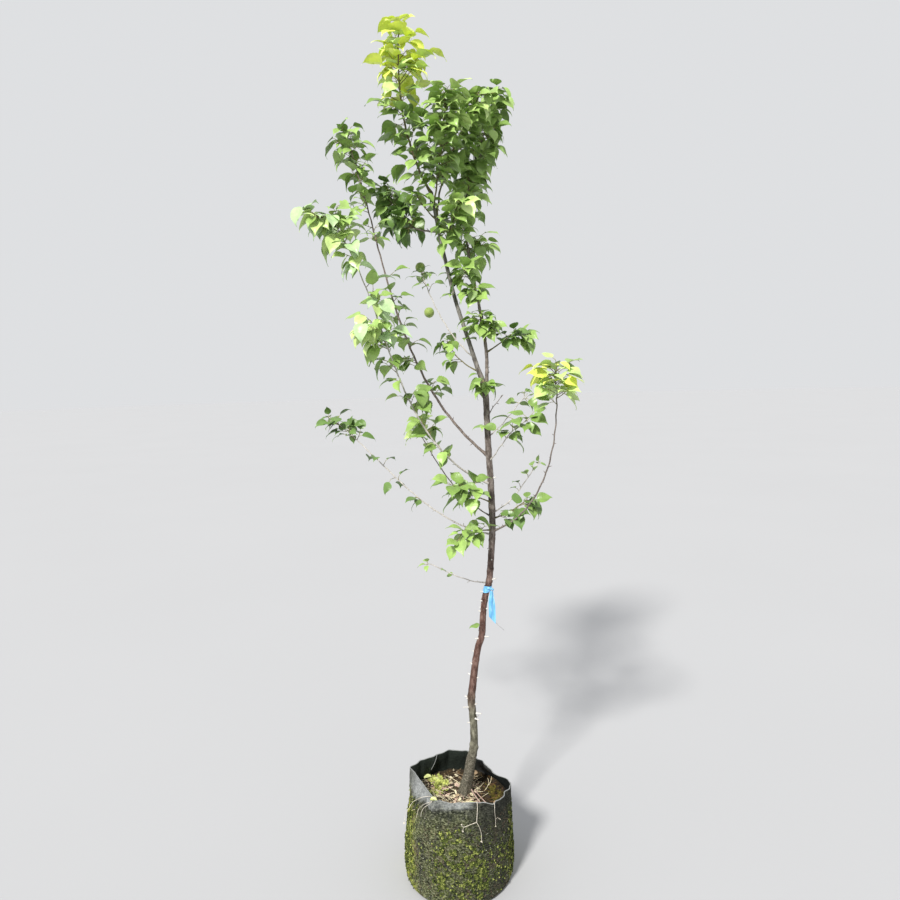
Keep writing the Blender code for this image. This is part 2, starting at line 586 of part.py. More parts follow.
def leaf_shape(base, ahead, normal, length):
    """A thin leaf folded on its midrib, on a three-sided stalk that comes to a point at base."""
    across = normal.cross(ahead).normalized()
    half = length * LEAF_WIDTH / 2
    fold = math.radians(LEAF_FOLD)
    neck = base + ahead * (LEAF_STALK * length)
    side = across * (LEAF_STALK_WIDTH / 2)
    shoulder = base + ahead * (LEAF_SHOULDER * length) + normal * (half * math.sin(fold))
    wing = across * (half * math.cos(fold))
    points = [base, neck - side, neck + side, neck - normal * LEAF_KEEL,
              shoulder - wing, shoulder + wing, base + ahead * length]
    faces = [(0, 1, 2), (0, 2, 3), (0, 3, 1),
             (1, 4, 6), (1, 6, 2), (2, 6, 5), (1, 3, 4), (3, 6, 4), (3, 5, 6), (3, 2, 5)]
    return points, faces


def leaf_room(base, ahead, normal, length):
    """A thicker block round the blade, without its root, to test what the leaf would touch."""
    across = normal.cross(ahead).normalized()
    half = length * LEAF_WIDTH / 2
    lift = half * math.sin(math.radians(LEAF_FOLD))
    points = []
    for share, width in ((0.16, 0.12), (LEAF_SHOULDER, 1.08), (1.03, 0.04)):
        for side in (-1, 0, 1):
            spot = base + ahead * (share * length) + across * (side * width * half)
            rise = lift * width * abs(side)
            points += [spot + normal * (rise + TOUCH), spot + normal * (rise - TOUCH - LEAF_KEEL)]
    faces = []
    for k in range(2):
        row = k * 6
        for a, b in ((0, 2), (2, 4), (5, 3), (3, 1)):
            faces += [(row + a, row + b, row + b + 6), (row + a, row + b + 6, row + a + 6)]
    return points, faces


def spur_shape(base, ahead, length, radius):
    """A three-sided twig that narrows to its tip."""
    return tube_shape([base, base + ahead * length], [radius, radius * 0.6], 3)


def fruit_shape(centre):
    """A round fruit."""
    ball = bmesh.new()
    bmesh.ops.create_icosphere(ball, subdivisions=2, radius=FRUIT_DIAMETER / 2,
                               matrix=Matrix.Translation(centre))
    points = [v.co.copy() for v in ball.verts]
    faces = [tuple(v.index for v in f.verts) for f in ball.faces]
    ball.free()
    return points, faces


class Spaces:
    """Keeps every mass in its own space: the stems, and search trees over what is built."""

    def __init__(self):
        self.stems = {}         # mass name to points along its stem
        self.built = []         # search trees of finished solids
        self.blades = []        # centre, reach and tree of each leaf and spur of the open mass

    def nearest(self, point, name):
        """Distance to the named mass's stem, and to the nearest other mass's stem."""
        own = min((point - p).length for p in self.stems[name])
        other = min(((point - p).length for n, line in self.stems.items() if n != name for p in line),
                    default=9.0)
        return own, other

    def inside(self, name, points):
        return all(own + SPACE_MARGIN < other for own, other in (self.nearest(p, name) for p in points))

    def clear(self, points, faces, skip=()):
        tree = shape_tree(points, faces)
        if any(tree.overlap(other) for other in self.built):
            return False
        middle = sum(points, Vector()) / len(points)
        reach = max((p - middle).length for p in points)
        for k, (spot, radius, other) in enumerate(self.blades):
            if k not in skip and (spot - middle).length < radius + reach and tree.overlap(other):
                return False
        return True

    def keep(self, points, faces):
        middle = sum(points, Vector()) / len(points)
        self.blades.append((middle, max((p - middle).length for p in points), shape_tree(points, faces)))
        return len(self.blades) - 1

    def finish(self, body):
        self.built.append(world_tree(body))
        self.blades = []


def outward(ahead, angle, lean):
    """A direction at an angle round a line and leaning away from it."""
    side, up = cross_frame(ahead)
    a, b = math.radians(angle), math.radians(lean)
    return (ahead * math.cos(b) + (side * math.cos(a) + up * math.sin(a)) * math.sin(b)).normalized()


def facing(ahead, angle):
    """The turn round a line that faces a compass angle."""
    side, up = cross_frame(ahead)
    aim = compass(angle)
    return math.degrees(math.atan2(up.dot(aim), side.dot(aim)))


def leaf_pose(spur_ahead, turn, spread, droop, roll):
    """Direction and upper-face normal of a leaf: it leaves its spur at an angle and hangs over."""
    ahead = outward(spur_ahead, turn, spread)
    ahead = (ahead * (1 - droop) + Vector((0, 0, -1)) * droop).normalized()
    up = Vector((0, 0, 1)) + outward(spur_ahead, turn, 90) * 0.5
    normal = (up - ahead * up.dot(ahead)).normalized()
    return ahead, Matrix.Rotation(math.radians(roll), 3, ahead) @ normal


def grow_spur(limb, name, path, share, turn, length, leaves, chance, spaces):
    """A spur and its rosette, as loose pieces, or nothing where there is no room."""
    base, stem_ahead = along(path, share)
    radius = min(SPUR_RADIUS, limb_radius(limb, share) * 0.62)
    ahead = outward(stem_ahead, turn, chance.uniform(*SPUR_LEAN))
    length = limb_radius(limb, share) + length * chance.uniform(*SPUR_LENGTHS)
    room = spur_shape(base + ahead * (limb_radius(limb, share) + 0.002), ahead,
                      max(length - limb_radius(limb, share), 0.004), radius + TOUCH)
    if not spaces.inside(name, [base + ahead * length]) or not spaces.clear(*room):
        return []
    pieces = [solid("spur", *spur_shape(base, ahead, length, radius))]
    own = spaces.keep(*room)
    for k in range(leaves):
        height = length - 0.0012 - (length - 0.004) * 0.62 * k / max(leaves, 2)
        for _ in range(LEAF_TRIES):
            spread = chance.uniform(*LEAF_SPREAD) if k else chance.uniform(15, 45)
            side = turn + k * GOLDEN_ANGLE + chance.uniform(-50, 50)
            pose = leaf_pose(ahead, side, spread, chance.uniform(*LEAF_DROOP), chance.uniform(-28, 28))
            size = chance.uniform(*LEAF_LENGTHS) * limb.leaf
            foot = base + ahead * height - pose[0] * radius * 0.35
            points, faces = leaf_room(foot, *pose, size)
            if spaces.inside(name, points[6:]) and spaces.clear(points, faces, skip=(own,)):
                pieces.append(solid("leaf", *leaf_shape(foot, *pose, size)))
                spaces.keep(points, faces)
                break
    return pieces


def make_mass(limb, path, spaces, root):
    """One mass: the rest of the limb as its stem, spurs round it, leaves and fruit on them."""
    chance = random.Random(SEED * 100 + LIMBS.index(limb))
    name = limb.name + "_leaves"
    start = limb.bare + CLEARANCE / limb.length if limb.bare else 0.0
    stem = limb_piece(limb, path, start, 1.0, STEM_SIDES, STEM_RING_STEP, name, "leaf", root)
    spaces.blades = [(Vector(), 9.0, world_tree(stem))]
    pieces, turn = [], chance.uniform(0, 360)
    if limb.name == "fruiting":
        for share, side, rise, reach in FRUIT_PLACES:
            foot, aim = along(path, share)[0], compass(side, rise)
            shape = fruit_shape(foot + aim * reach)
            pieces.append(solid("fruit", *shape))
            pieces.append(solid("fruit_stalk", *spur_shape(foot, aim, reach * 0.8, SPUR_RADIUS)))
            spaces.keep(*shape)
    for first, last, spurs, length, leaves, *side in limb.zones:
        count = math.ceil(spurs * SPUR_SHARE)
        for k in range(count):
            share = lerp((first, last), (k + chance.uniform(0.25, 0.75)) / count)
            turn += GOLDEN_ANGLE
            if side:
                turn = facing(along(path, share)[1], side[0]) + chance.uniform(-SIDE_SPREAD, SIDE_SPREAD)
            pieces += grow_spur(limb, name, path, share, turn, length, leaves, chance, spaces)
    if limb.zones[-1][1] > 0.9:         # the shoot's own end leaf
        base, ahead = along(path, 1.0)
        pose = leaf_pose(ahead, turn, 30, 0.45, 0)
        size = LEAF_LENGTHS[0] * limb.leaf
        shape = leaf_shape(base - ahead * 0.002, *pose, size)
        if spaces.clear(*leaf_room(base, *pose, size), skip=(0,)):
            pieces.append(solid("leaf", *shape))
    return joined(stem, pieces)


def make_tree(root):
    spaces = Spaces()
    paths = {}
    for limb in LIMBS:
        paths[limb.name] = limb_path(limb, paths)
    for limb in LIMBS:
        if limb.zones:
            line = paths[limb.name][int(limb.bare * LIMB_STEPS):]
            spaces.stems[limb.name + "_leaves"] = line

    cutters = {"trunk": solid("cutter", *trunk_shape(1.3 * CLEARANCE)), "right_stem": None}
    spaces.built.append(world_tree(make_trunk(root)))
    spaces.built.append(world_tree(make_tape(root, cutters["trunk"])))
    for limb in LIMBS:
        if not limb.bare:
            continue
        name = limb.name if limb.name.endswith(("stem", "twig")) else limb.name + "_bough"
        bough = limb_piece(limb, paths[limb.name], 0.0, limb.bare, BOUGH_SIDES, BOUGH_RING_STEP,
                           name, "bark" if limb.name == "right_stem" else "shoot", root)
        cut(bough, cutters["trunk"])
        if limb.parent == "right_stem":
            cut(bough, cutters["right_stem"])
        spaces.built.append(world_tree(bough))
        if limb.name == "right_stem":
            cutters["right_stem"] = swollen(limb, paths[limb.name])
    for limb in LIMBS:
        if not limb.zones:
            continue
        mass = make_mass(limb, paths[limb.name], spaces, root)
        if not limb.bare:
            cut(mass, cutters[limb.parent])
        spaces.finish(mass)
    for cutter in cutters.values():
        bpy.data.objects.remove(cutter)


def shade_round(root):
    """Smooth shading over shallow edges, and crisp ones at folds, rims and leaf edges."""
    for piece in root.children:
        piece.data.shade_smooth()
        piece.data.set_sharp_from_angle(angle=math.radians(CRISP_ANGLE))


def main():
    for old in list(bpy.data.objects):
        bpy.data.objects.remove(old, do_unlink=True)
    root = bpy.data.objects.new("apricot_tree", None)
    bpy.context.scene.collection.objects.link(root)
    make_bag(root)
    make_soil(root)
    make_tree(root)
    shade_round(root)


main()
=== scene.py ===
"""The looks of a young Japanese apricot tree in a fabric grow bag.

Metres, in the frame of the solids: the origin is the centre of the bag's flat underside, +Z is up,
and +Y points away from the viewer. Compass angles are in degrees: 0 points along +X, 90 along +Y.
The limbs follow the same arcs as the solids. They carry finer spurs and more leaves, within the
same reach. Barks, felt, moss, soil, tape and weeds are made as meshes, each kind with its own finish.
"""

import json
import math
import random
from collections import namedtuple

import bpy
import numpy as np
from mathutils import Matrix, Vector, noise

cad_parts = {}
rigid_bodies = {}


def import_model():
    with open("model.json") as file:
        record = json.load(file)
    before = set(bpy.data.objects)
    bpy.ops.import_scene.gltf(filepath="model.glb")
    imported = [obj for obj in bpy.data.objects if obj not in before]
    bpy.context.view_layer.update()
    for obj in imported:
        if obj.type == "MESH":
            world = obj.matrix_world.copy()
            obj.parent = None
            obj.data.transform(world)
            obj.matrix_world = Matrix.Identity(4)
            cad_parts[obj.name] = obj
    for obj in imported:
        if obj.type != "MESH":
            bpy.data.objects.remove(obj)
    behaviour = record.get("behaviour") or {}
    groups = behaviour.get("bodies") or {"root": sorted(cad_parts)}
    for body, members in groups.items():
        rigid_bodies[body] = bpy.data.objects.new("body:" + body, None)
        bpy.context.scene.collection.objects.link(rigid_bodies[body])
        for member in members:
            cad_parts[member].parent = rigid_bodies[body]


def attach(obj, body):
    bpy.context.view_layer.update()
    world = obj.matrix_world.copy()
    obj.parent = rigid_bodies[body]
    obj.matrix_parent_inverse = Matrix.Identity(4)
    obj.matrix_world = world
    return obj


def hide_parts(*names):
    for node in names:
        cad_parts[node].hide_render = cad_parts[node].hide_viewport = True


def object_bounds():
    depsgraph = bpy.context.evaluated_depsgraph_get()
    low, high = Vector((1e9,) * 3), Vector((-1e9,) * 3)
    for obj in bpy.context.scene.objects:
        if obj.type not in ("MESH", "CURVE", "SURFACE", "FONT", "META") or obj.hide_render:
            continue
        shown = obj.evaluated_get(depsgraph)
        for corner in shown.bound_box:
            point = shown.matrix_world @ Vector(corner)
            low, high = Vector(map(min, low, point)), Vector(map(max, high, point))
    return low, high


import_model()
cad_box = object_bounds()

GOLDEN_ANGLE = 137.5
SEED = 11
DOWN = Vector((0, 0, -1))

# Camera of the photograph: place, tilt down, roll, lens on a 36 mm sensor
CAMERA_PLACE = Vector((0.0053, -1.648, 1.32))
CAMERA_PITCH = 5.98
CAMERA_ROLL = -1.57
CAMERA_LENS = 26.0

# Grow bag, the same driving sizes as the solid
BAG_FLOOR_RADIUS = 0.144
BAG_BELLY_RADIUS = 0.147
BAG_SHOULDER_RADIUS = 0.1435
BAG_BELLY_HEIGHT = 0.085
BAG_SHOULDER_HEIGHT = 0.195
BAG_HEIGHT = 0.263
BAG_FOOT_ROUND = 0.012
BAG_WALL = 0.0028
RIM_CORNERS = ((3, 0.108, -0.002), (44, 0.099, 0.001), (76, 0.124, 0.001), (100, 0.127, 0.003),
               (118, 0.118, 0.002), (143, 0.129, 0.001), (159, 0.142, 0.000), (240, 0.113, -0.001),
               (262, 0.111, -0.002), (296, 0.119, -0.002), (307, 0.150, 0.001), (323, 0.146, -0.003),
               (329, 0.141, -0.003), (340, 0.146, -0.003), (347, 0.146, -0.003), (355, 0.138, -0.002))
BAG_STEPS = 288         # round the bag
BAG_ROWS = (44, 40)     # up the wall, below and above the soil's level
RIM_ROUND = 2.2         # how far a rim corner is rounded, degrees
SHOULDERS = ((0, 0.195), (110, 0.190), (150, 0.155), (205, 0.150), (246, 0.230), (288, 0.232),
             (306, 0.205), (360, 0.195))
# Places where the wall is pressed in: compass angle, height, half widths, depth
DENTS = ((186, 0.155, 26, 0.065, 0.0085), (262, 0.216, 26, 0.016, 0.0020))
# Height of the crease under the folded lip: compass angle, height
LIP_CREASE = ((200, 0.227), (231, 0.237), (241, 0.2425), (250, 0.246), (266, 0.2495), (282, 0.249), (302, 0.246))

# How strong the painted sheen on the front lip is, from left to right: a painted highlight where light falls on the
# lip
LIP_SHEEN = tuple((spot, (grey, grey, grey)) for spot, grey in (
    (0.0, 1.0), (0.30, 1.0), (0.40, 0.40), (0.50, 0.55), (0.60, 0.85), (0.76, 0.80), (0.84, 0.20), (0.90, 0.0)))

SOIL_LEVEL = 0.197
SOIL_RADIUS = 0.138

# Trunk and its left leader: height, east, north, diameter
TRUNK_STATIONS = (
    (0.190, 0.0200, 0.022, 0.0430), (0.2003, 0.0215, 0.022, 0.0390), (0.23, 0.0260, 0.022, 0.0318),
    (0.26, 0.0333, 0.022, 0.0300), (0.29, 0.0382, 0.023, 0.0288), (0.32, 0.0454, 0.023, 0.0260),
    (0.345, 0.0490, 0.024, 0.0232), (0.385, 0.0492, 0.026, 0.0218), (0.43, 0.0468, 0.028, 0.0214),
    (0.465, 0.0444, 0.029, 0.0226), (0.50, 0.0486, 0.030, 0.0216), (0.56, 0.0572, 0.034, 0.0200),
    (0.61, 0.0668, 0.037, 0.0188), (0.64, 0.0770, 0.038, 0.0190), (0.70, 0.0822, 0.041, 0.0178),
    (0.745, 0.0882, 0.042, 0.0174), (0.785, 0.0998, 0.044, 0.0180), (0.83, 0.1050, 0.046, 0.0182),
    (0.925, 0.1122, 0.050, 0.0184), (0.965, 0.1128, 0.052, 0.0184), (1.06, 0.1105, 0.057, 0.0182),
    (1.14, 0.107, 0.061, 0.0178), (1.22, 0.105, 0.066, 0.0173), (1.30, 0.101, 0.071, 0.0168),
    (1.36, 0.082, 0.076, 0.0130), (1.45, 0.055, 0.083, 0.0114), (1.53, 0.031, 0.090, 0.0108),
    (1.62, 0.0105, 0.098, 0.0102), (1.735, -0.0125, 0.110, 0.0094), (1.814, -0.0245, 0.118, 0.0086))
TRUNK_SIDES = 36
TRUNK_STEP = 0.0036
ROOT_LOBES = 4
ROOT_LOBE_HEIGHT = 0.07
ROOT_LOBE_DEPTH = 0.16
# Raised rings of old growth on the trunk: height, rise
COLLARS = ((0.337, 0.0016), (0.472, 0.0010), (0.575, 0.0006), (0.655, 0.0008), (0.736, 0.0012),
           (0.788, 0.0012), (0.818, 0.0013), (0.90, 0.0008), (0.985, 0.0010), (1.055, 0.0008),
           (1.135, 0.0010), (1.235, 0.0008))
# Cut or dead spurs that the photograph shows on the trunk: height, compass angle, length
STUBS = ((0.401, 196, 0.005), (0.415, 308, 0.013), (0.427, 341, 0.014), (0.444, 203, 0.015),
         (0.449, 336, 0.005), (0.470, 205, 0.003), (0.524, 340, 0.004), (0.559, 192, 0.005),
         (0.632, 198, 0.007), (0.637, 340, 0.011), (0.704, 190, 0.004), (0.711, 330, 0.005),
         (0.735, 215, 0.005), (0.758, 198, 0.008), (0.790, 338, 0.011), (0.846, 280, 0.002),
         (0.872, 210, 0.004), (1.011, 200, 0.006), (1.063, 340, 0.006))
BACK_STUBS = 14         # more of them round the sides and the back
STUB_RADIUS = 0.0018

# Marker tape
TAPE_HEIGHT = 0.768
TAPE_BAND = 0.016
TAPE_SIDE = 318         # compass angle of the knot
TAPE_FACE = 285         # compass angle that the tail faces
TAPE_TAIL = 0.092
TAPE_SLANT = 0.76       # length of the tail's left edge, as a share of its right one
TAPE_HALVES = (0.0044, 0.0092)  # half the tail's width at its top and its end

# The limbs are the solids' own arcs: compass angle at foot and tip, rise at foot, middle and tip.
# bark and tints name their colours, tints for the lower and the upper half of the leafy part, and hang
# is how far their leaves hang over. A zone of spurs has its first and last share of the length, the
# number of spurs, their length, leaves on a spur, and the compass angle that they face, if any.
Limb = namedtuple("Limb", "name parent height compass rise length diameters leaf bare bark tints hang zones")
LIMBS = (
    Limb("right_stem", "trunk", 1.283, (180, 10), (98, 66, 72), 0.888, (0.0118, 0.0034),
         0.90, 0.38, "grey", ("ffm", "ffm"), 0.75, ((0.39, 0.44, 3, 0.058, 3, 335),
          (0.42, 0.62, 9, 0.032, 3), (0.62, 0.80, 19, 0.044, 4), (0.80, 1.00, 17, 0.038, 4))),
    Limb("top", "trunk", 1.811, (195, 197), (57, 82, 95), 0.428, (0.0082, 0.0034),
         1.05, 0.0, "green", ("mmf", "yyl"), 0.50, ((0.08, 0.30, 9, 0.026, 3),
          (0.31, 0.60, 15, 0.040, 4), (0.60, 0.86, 16, 0.046, 4), (0.66, 0.80, 4, 0.070, 3, 0),
          (0.88, 1.00, 5, 0.020, 3))),
    Limb("top_middle", "trunk", 1.783, (300, 296), (64, 72, 76), 0.264, (0.0052, 0.0032),
         0.90, 0.0, "green", ("ffm", "ffl"), 0.50, ((0.15, 0.58, 12, 0.034, 3),
          (0.60, 1.00, 14, 0.030, 4))),
    Limb("top_right", "trunk", 1.735, (77, -14), (78, 65, 59), 0.378, (0.0066, 0.0032),
         0.90, 0.36, "green", ("ffm", "ffl"), 0.60, ((0.38, 0.75, 13, 0.042, 4),
          (0.75, 1.00, 9, 0.032, 4))),
    Limb("back_left", "trunk", 1.714, (135, 129), (6, 35, 72), 0.286, (0.0060, 0.0032),
         0.90, 0.30, "dark", ("ddm", "ddm"), 0.85, ((0.32, 0.62, 9, 0.038, 4),
          (0.62, 0.92, 9, 0.032, 4))),
    Limb("leader_left", "trunk", 1.745, (202, 202), (35, 48, 62), 0.080, (0.0042, 0.0030),
         0.85, 0.0, "green", ("mf", "mf"), 0.50, ((0.45, 1.00, 4, 0.018, 3),)),
    Limb("leader_right", "trunk", 1.665, (309, 313), (54, 58, 62), 0.125, (0.0048, 0.0030),
         0.95, 0.0, "green", ("ffm", "fl"), 0.50, ((0.16, 1.00, 11, 0.028, 4),)),
    Limb("right_stem_left", "right_stem", 1.575, (226, 226), (35, 43, 52), 0.055, (0.0040, 0.0030),
         1.0, 0.0, "green", ("fm", "ff"), 0.70, ((0.35, 1.00, 5, 0.022, 3),)),
    Limb("right_stem_middle", "right_stem", 1.515, (240, 240), (25, 40, 55), 0.040, (0.0036, 0.0030),
         0.95, 0.0, "green", ("fm", "fm"), 0.60, ((0.40, 1.00, 4, 0.014, 2),)),
    Limb("right_stem_low", "right_stem", 1.425, (250, 238), (50, 66, 74), 0.078, (0.0038, 0.0030),
         0.85, 0.0, "green", ("fm", "ff"), 0.50, ((0.25, 0.55, 3, 0.026, 3, 330),
          (0.50, 1.00, 5, 0.018, 3))),
    Limb("upper_left", "trunk", 1.121, (158, 158), (36, 72, 70), 0.972, (0.0088, 0.0034),
         0.90, 0.20, "dark", ("mmf", "ffm"), 0.50, ((0.22, 0.27, 2, 0.030, 3, 10),
          (0.31, 0.36, 3, 0.030, 3, 190), (0.37, 0.44, 3, 0.020, 3), (0.46, 0.54, 4, 0.024, 3),
          (0.58, 0.62, 1, 0.022, 2, 0), (0.69, 0.74, 3, 0.026, 3), (0.77, 0.83, 3, 0.036, 3, 180),
          (0.84, 0.93, 7, 0.034, 3), (0.94, 1.00, 6, 0.044, 4))),
    Limb("left", "trunk", 1.048, (203, 202), (20, 69, 56), 0.790, (0.0060, 0.0030),
         0.95, 0.16, "pale", ("fmm", "lpf"), 0.75, ((0.17, 0.22, 2, 0.014, 2, 60),
          (0.26, 0.33, 4, 0.022, 2, 40), (0.36, 0.42, 3, 0.030, 3, 20), (0.40, 0.42, 1, 0.030, 2, 190),
          (0.45, 0.48, 1, 0.012, 3, 190), (0.50, 0.54, 2, 0.040, 2, 190), (0.56, 0.60, 1, 0.014, 2, 10),
          (0.58, 0.66, 6, 0.056, 4, 200), (0.60, 0.66, 2, 0.020, 3, 20), (0.69, 0.75, 3, 0.022, 3, 10),
          (0.77, 0.79, 1, 0.016, 1, 10), (0.83, 0.89, 4, 0.030, 3), (0.90, 1.00, 9, 0.044, 4),
          (0.96, 1.00, 3, 0.072, 4, 195))),
    Limb("fruiting", "trunk", 1.382, (127, 127), (28, 49, 62), 0.345, (0.0044, 0.0030),
         0.80, 0.30, "pale", ("dm", "dm"), 0.50, ((0.33, 0.40, 1, 0.012, 2), (0.80, 0.88, 2, 0.028, 2),
          (0.92, 1.00, 2, 0.014, 3))),
    Limb("fork_right", "right_stem", 1.391, (15, 10), (28, 30, 4), 0.115, (0.0044, 0.0030),
         0.80, 0.36, "green", ("md", "fm"), 0.40, ((0.38, 0.50, 1, 0.020, 2, 270),
          (0.45, 0.70, 3, 0.020, 3, 250), (0.80, 1.00, 3, 0.018, 3, 0))),
    Limb("fork_left", "trunk", 1.345, (150, 140), (20, 40, 60), 0.130, (0.0040, 0.0030),
         0.75, 0.0, "green", ("mm", "mf"), 0.80, ((0.40, 0.70, 2, 0.020, 2, 200),
          (0.85, 1.00, 3, 0.014, 3))),
    Limb("trunk_front", "trunk", 1.285, (262, 262), (15, 45, 70), 0.048, (0.0038, 0.0030),
         0.95, 0.0, "green", ("mf", "fm"), 1.0, ((0.60, 1.00, 3, 0.010, 3),)),
    Limb("thin_left", "trunk", 0.960, (163, 164), (25, 53, 61), 0.326, (0.0040, 0.0028),
         0.80, 0.74, "grey", ("fl", "lf"), 0.50, ((0.78, 1.00, 4, 0.018, 3),)),
    Limb("thin_left_base", "trunk", 0.998, (225, 216), (22, 27, 31), 0.124, (0.0040, 0.0030),
         1.0, 0.0, "green", ("mf", "mf"), 0.35, ((0.35, 1.00, 6, 0.030, 3),)),
    Limb("low_left", "trunk", 0.913, (163, 161), (7, 41, 33), 0.575, (0.0050, 0.0028),
         0.80, 0.36, "pale", ("dd", "dd"), 0.40, ((0.37, 0.40, 1, 0.016, 2, 270),
          (0.50, 0.56, 2, 0.018, 1), (0.62, 0.70, 2, 0.018, 1), (0.80, 0.97, 6, 0.022, 3))),
    Limb("low_left_base", "trunk", 0.925, (222, 222), (10, 5, -10), 0.115, (0.0040, 0.0030),
         0.85, 0.0, "green", ("mf", "fff"), 0.55, ((0.35, 1.00, 6, 0.024, 3),)),
    Limb("lowest", "trunk", 0.783, (186, 185), (2, 25, 26), 0.176, (0.0036, 0.0028),
         0.55, 0.36, "pale", ("mf", "fl"), 0.10, ((0.50, 0.60, 1, 0.006, 1, 100),
          (0.62, 0.75, 1, 0.006, 1, 260), (0.92, 1.00, 1, 0.006, 2, 190))),
    Limb("right", "trunk", 0.922, (324, 297), (21, 66, 96), 0.500, (0.0058, 0.0032),
         0.95, 0.72, "grey", ("fl", "lyf"), 0.45, ((0.84, 0.94, 5, 0.040, 3),
          (0.94, 1.00, 6, 0.044, 3))),
    Limb("right_low", "trunk", 0.957, (353, 353), (10, 30, 38), 0.105, (0.0040, 0.0030),
         0.85, 0.0, "green", ("dd", "md"), 0.40, ((0.12, 0.30, 2, 0.018, 2, 270),
          (0.50, 0.75, 2, 0.018, 2, 270), (0.85, 1.00, 2, 0.018, 3, 0))),
    Limb("right_back", "trunk", 0.973, (32, 34), (6, 42, 38), 0.205, (0.0036, 0.0026),
         0.65, 0.46, "pale", ("md", "mm"), 0.40, ((0.48, 0.58, 2, 0.014, 1, 180),
          (0.72, 0.90, 2, 0.014, 2, 200))),
    Limb("right_front", "trunk", 1.107, (305, 302), (39, 41, 14), 0.195, (0.0036, 0.0026),
         0.90, 0.42, "pale", ("mm", "mm"), 0.45, ((0.45, 0.60, 1, 0.045, 2, 180),
          (0.45, 1.00, 6, 0.026, 3))),
    Limb("right_upper", "trunk", 1.173, (34, 34), (26, 41, 38), 0.178, (0.0034, 0.0024),
         0.65, 0.66, "pale", ("mm", "mm"), 0.40, ((0.74, 1.00, 3, 0.020, 3),)),
    Limb("bare_twig", "trunk", 1.225, (46, 46), (45, 39, 33), 0.090, (0.0028, 0.0020),
         1.0, 1.0, "grey", ("f", "f"), 0.50, ()),
)
LIMB_STEPS = 40         # steps that an arc is worked out in, as in the solids
LIMB_SIDES = 12
LIMB_SLIM = 0.84        # the looks' limbs are a little slimmer than the solids, and so is the trunk
TRUNK_SLIM = 0.93
LIMB_RING_STEP = 0.005
THORN_STEP = 0.021      # between the tiny spurs on a bough's bare part
THORN_LENGTHS = (0.003, 0.009)

# Spurs and leaves: more of them than the solids have, with the same reach
# Leaves that stand straight on the trunk and the left leader: height, compass angle, leaves, length
TRUNK_SPRAYS = ((0.668, 186, 1, 0.033), (1.200, 190, 2, 0.036), (1.335, 205, 1, 0.030), (1.430, 250, 2, 0.030),
                (1.545, 195, 2, 0.034), (1.600, 205, 1, 0.026))
MORE_SPURS = {"top": 0.75, "right_stem": 1.5, "top_middle": 1.7, "top_right": 1.6, "back_left": 1.7, "upper_left": 1.4,
              "left": 1.3, "leader_right": 1.4, "leader_left": 1.4, "thin_left_base": 1.5, "right": 1.5,
              "right_stem_low": 1.6, "right_stem_left": 1.4, "right_stem_middle": 1.5, "fork_left": 1.5,
              "fork_right": 1.4, "trunk_front": 1.6, "low_left": 1.6, "right_low": 1.4, "low_left_base": 1.2}
SIDE_SPREAD = 35        # how far a spur turns from the side that its zone faces
SPUR_LENGTHS = (0.35, 1.15)
SPUR_LEAN = (34, 78)
SPUR_RADIUS = 0.0011
LEAF_LENGTHS = (0.035, 0.058)
LEAF_WIDTH = 0.68
STALK_LENGTHS = (0.008, 0.015)
STALK_RADIUS = 0.00055
LEAF_DROOP = (0.05, 1.0)    # shares of the limb's own hang
LEAF_SPREAD = (35, 85)
LEAF_RISE = 0.22        # the most that a leaf points up where it leaves its spur
LEAF_TRIES = 6
LEAF_ROOM = 0.0135      # least distance between two blades' centres
BOX_SLACK = 0.006       # a leaf may pass the solids' box by this much
BRIGHT_SIDE = Vector((-0.45, -0.65, 0.60))  # leaves turn their faces a little to this side

# Half width of a leaf along its blade: share of the length, share of the half width
LEAF_OUTLINE = ((0.0, 0.02), (0.03, 0.34), (0.09, 0.68), (0.19, 0.94), (0.31, 1.0), (0.44, 0.94),
                (0.56, 0.76), (0.66, 0.52), (0.74, 0.30), (0.81, 0.15), (0.88, 0.08), (0.95, 0.04),
                (1.0, 0.0))
LEAF_ROWS = 18
LEAF_KINDS = 12         # leaf shapes that are dealt out

FRUIT_DIAMETER = 0.029
FRUIT_PLACES = ((0.58, 188, 5, 0.027), (0.99, 130, 72, 0.020))

# Moss on the bag: compass angle, height, half widths of the patch, tufts
MOSS_PATCHES = ((190, 0.125, 6, 0.085, 2400), (201, 0.120, 8, 0.080, 2000), (213, 0.085, 7, 0.055, 420),
                (251, 0.072, 8, 0.026, 700), (257, 0.150, 14, 0.045, 500), (262, 0.195, 12, 0.025, 200),
                (280, 0.135, 12, 0.035, 600), (288, 0.085, 9, 0.045, 1250), (294, 0.060, 6, 0.030, 420),
                (272, 0.040, 16, 0.022, 350), (270, 0.110, 30, 0.080, 900), (318, 0.090, 14, 0.060, 300),
                (341, 0.115, 7, 0.080, 1500), (352, 0.080, 7, 0.060, 700), (20, 0.10, 18, 0.07, 600),
                (58, 0.06, 18, 0.04, 420), (95, 0.13, 16, 0.08, 480), (130, 0.07, 16, 0.05, 420),
                (160, 0.12, 14, 0.08, 520))
MOSS_BLADE = (0.0016, 0.0050)
TUFT_BLADES = 5
MOSS_SHARE = 1.30       # share of each patch's tufts where the moss is thick
MOSS_SPECKS = 4200      # bits of moss, dirt and lint all over the wall
SPECK_SIZES = (0.0009, 0.0027)

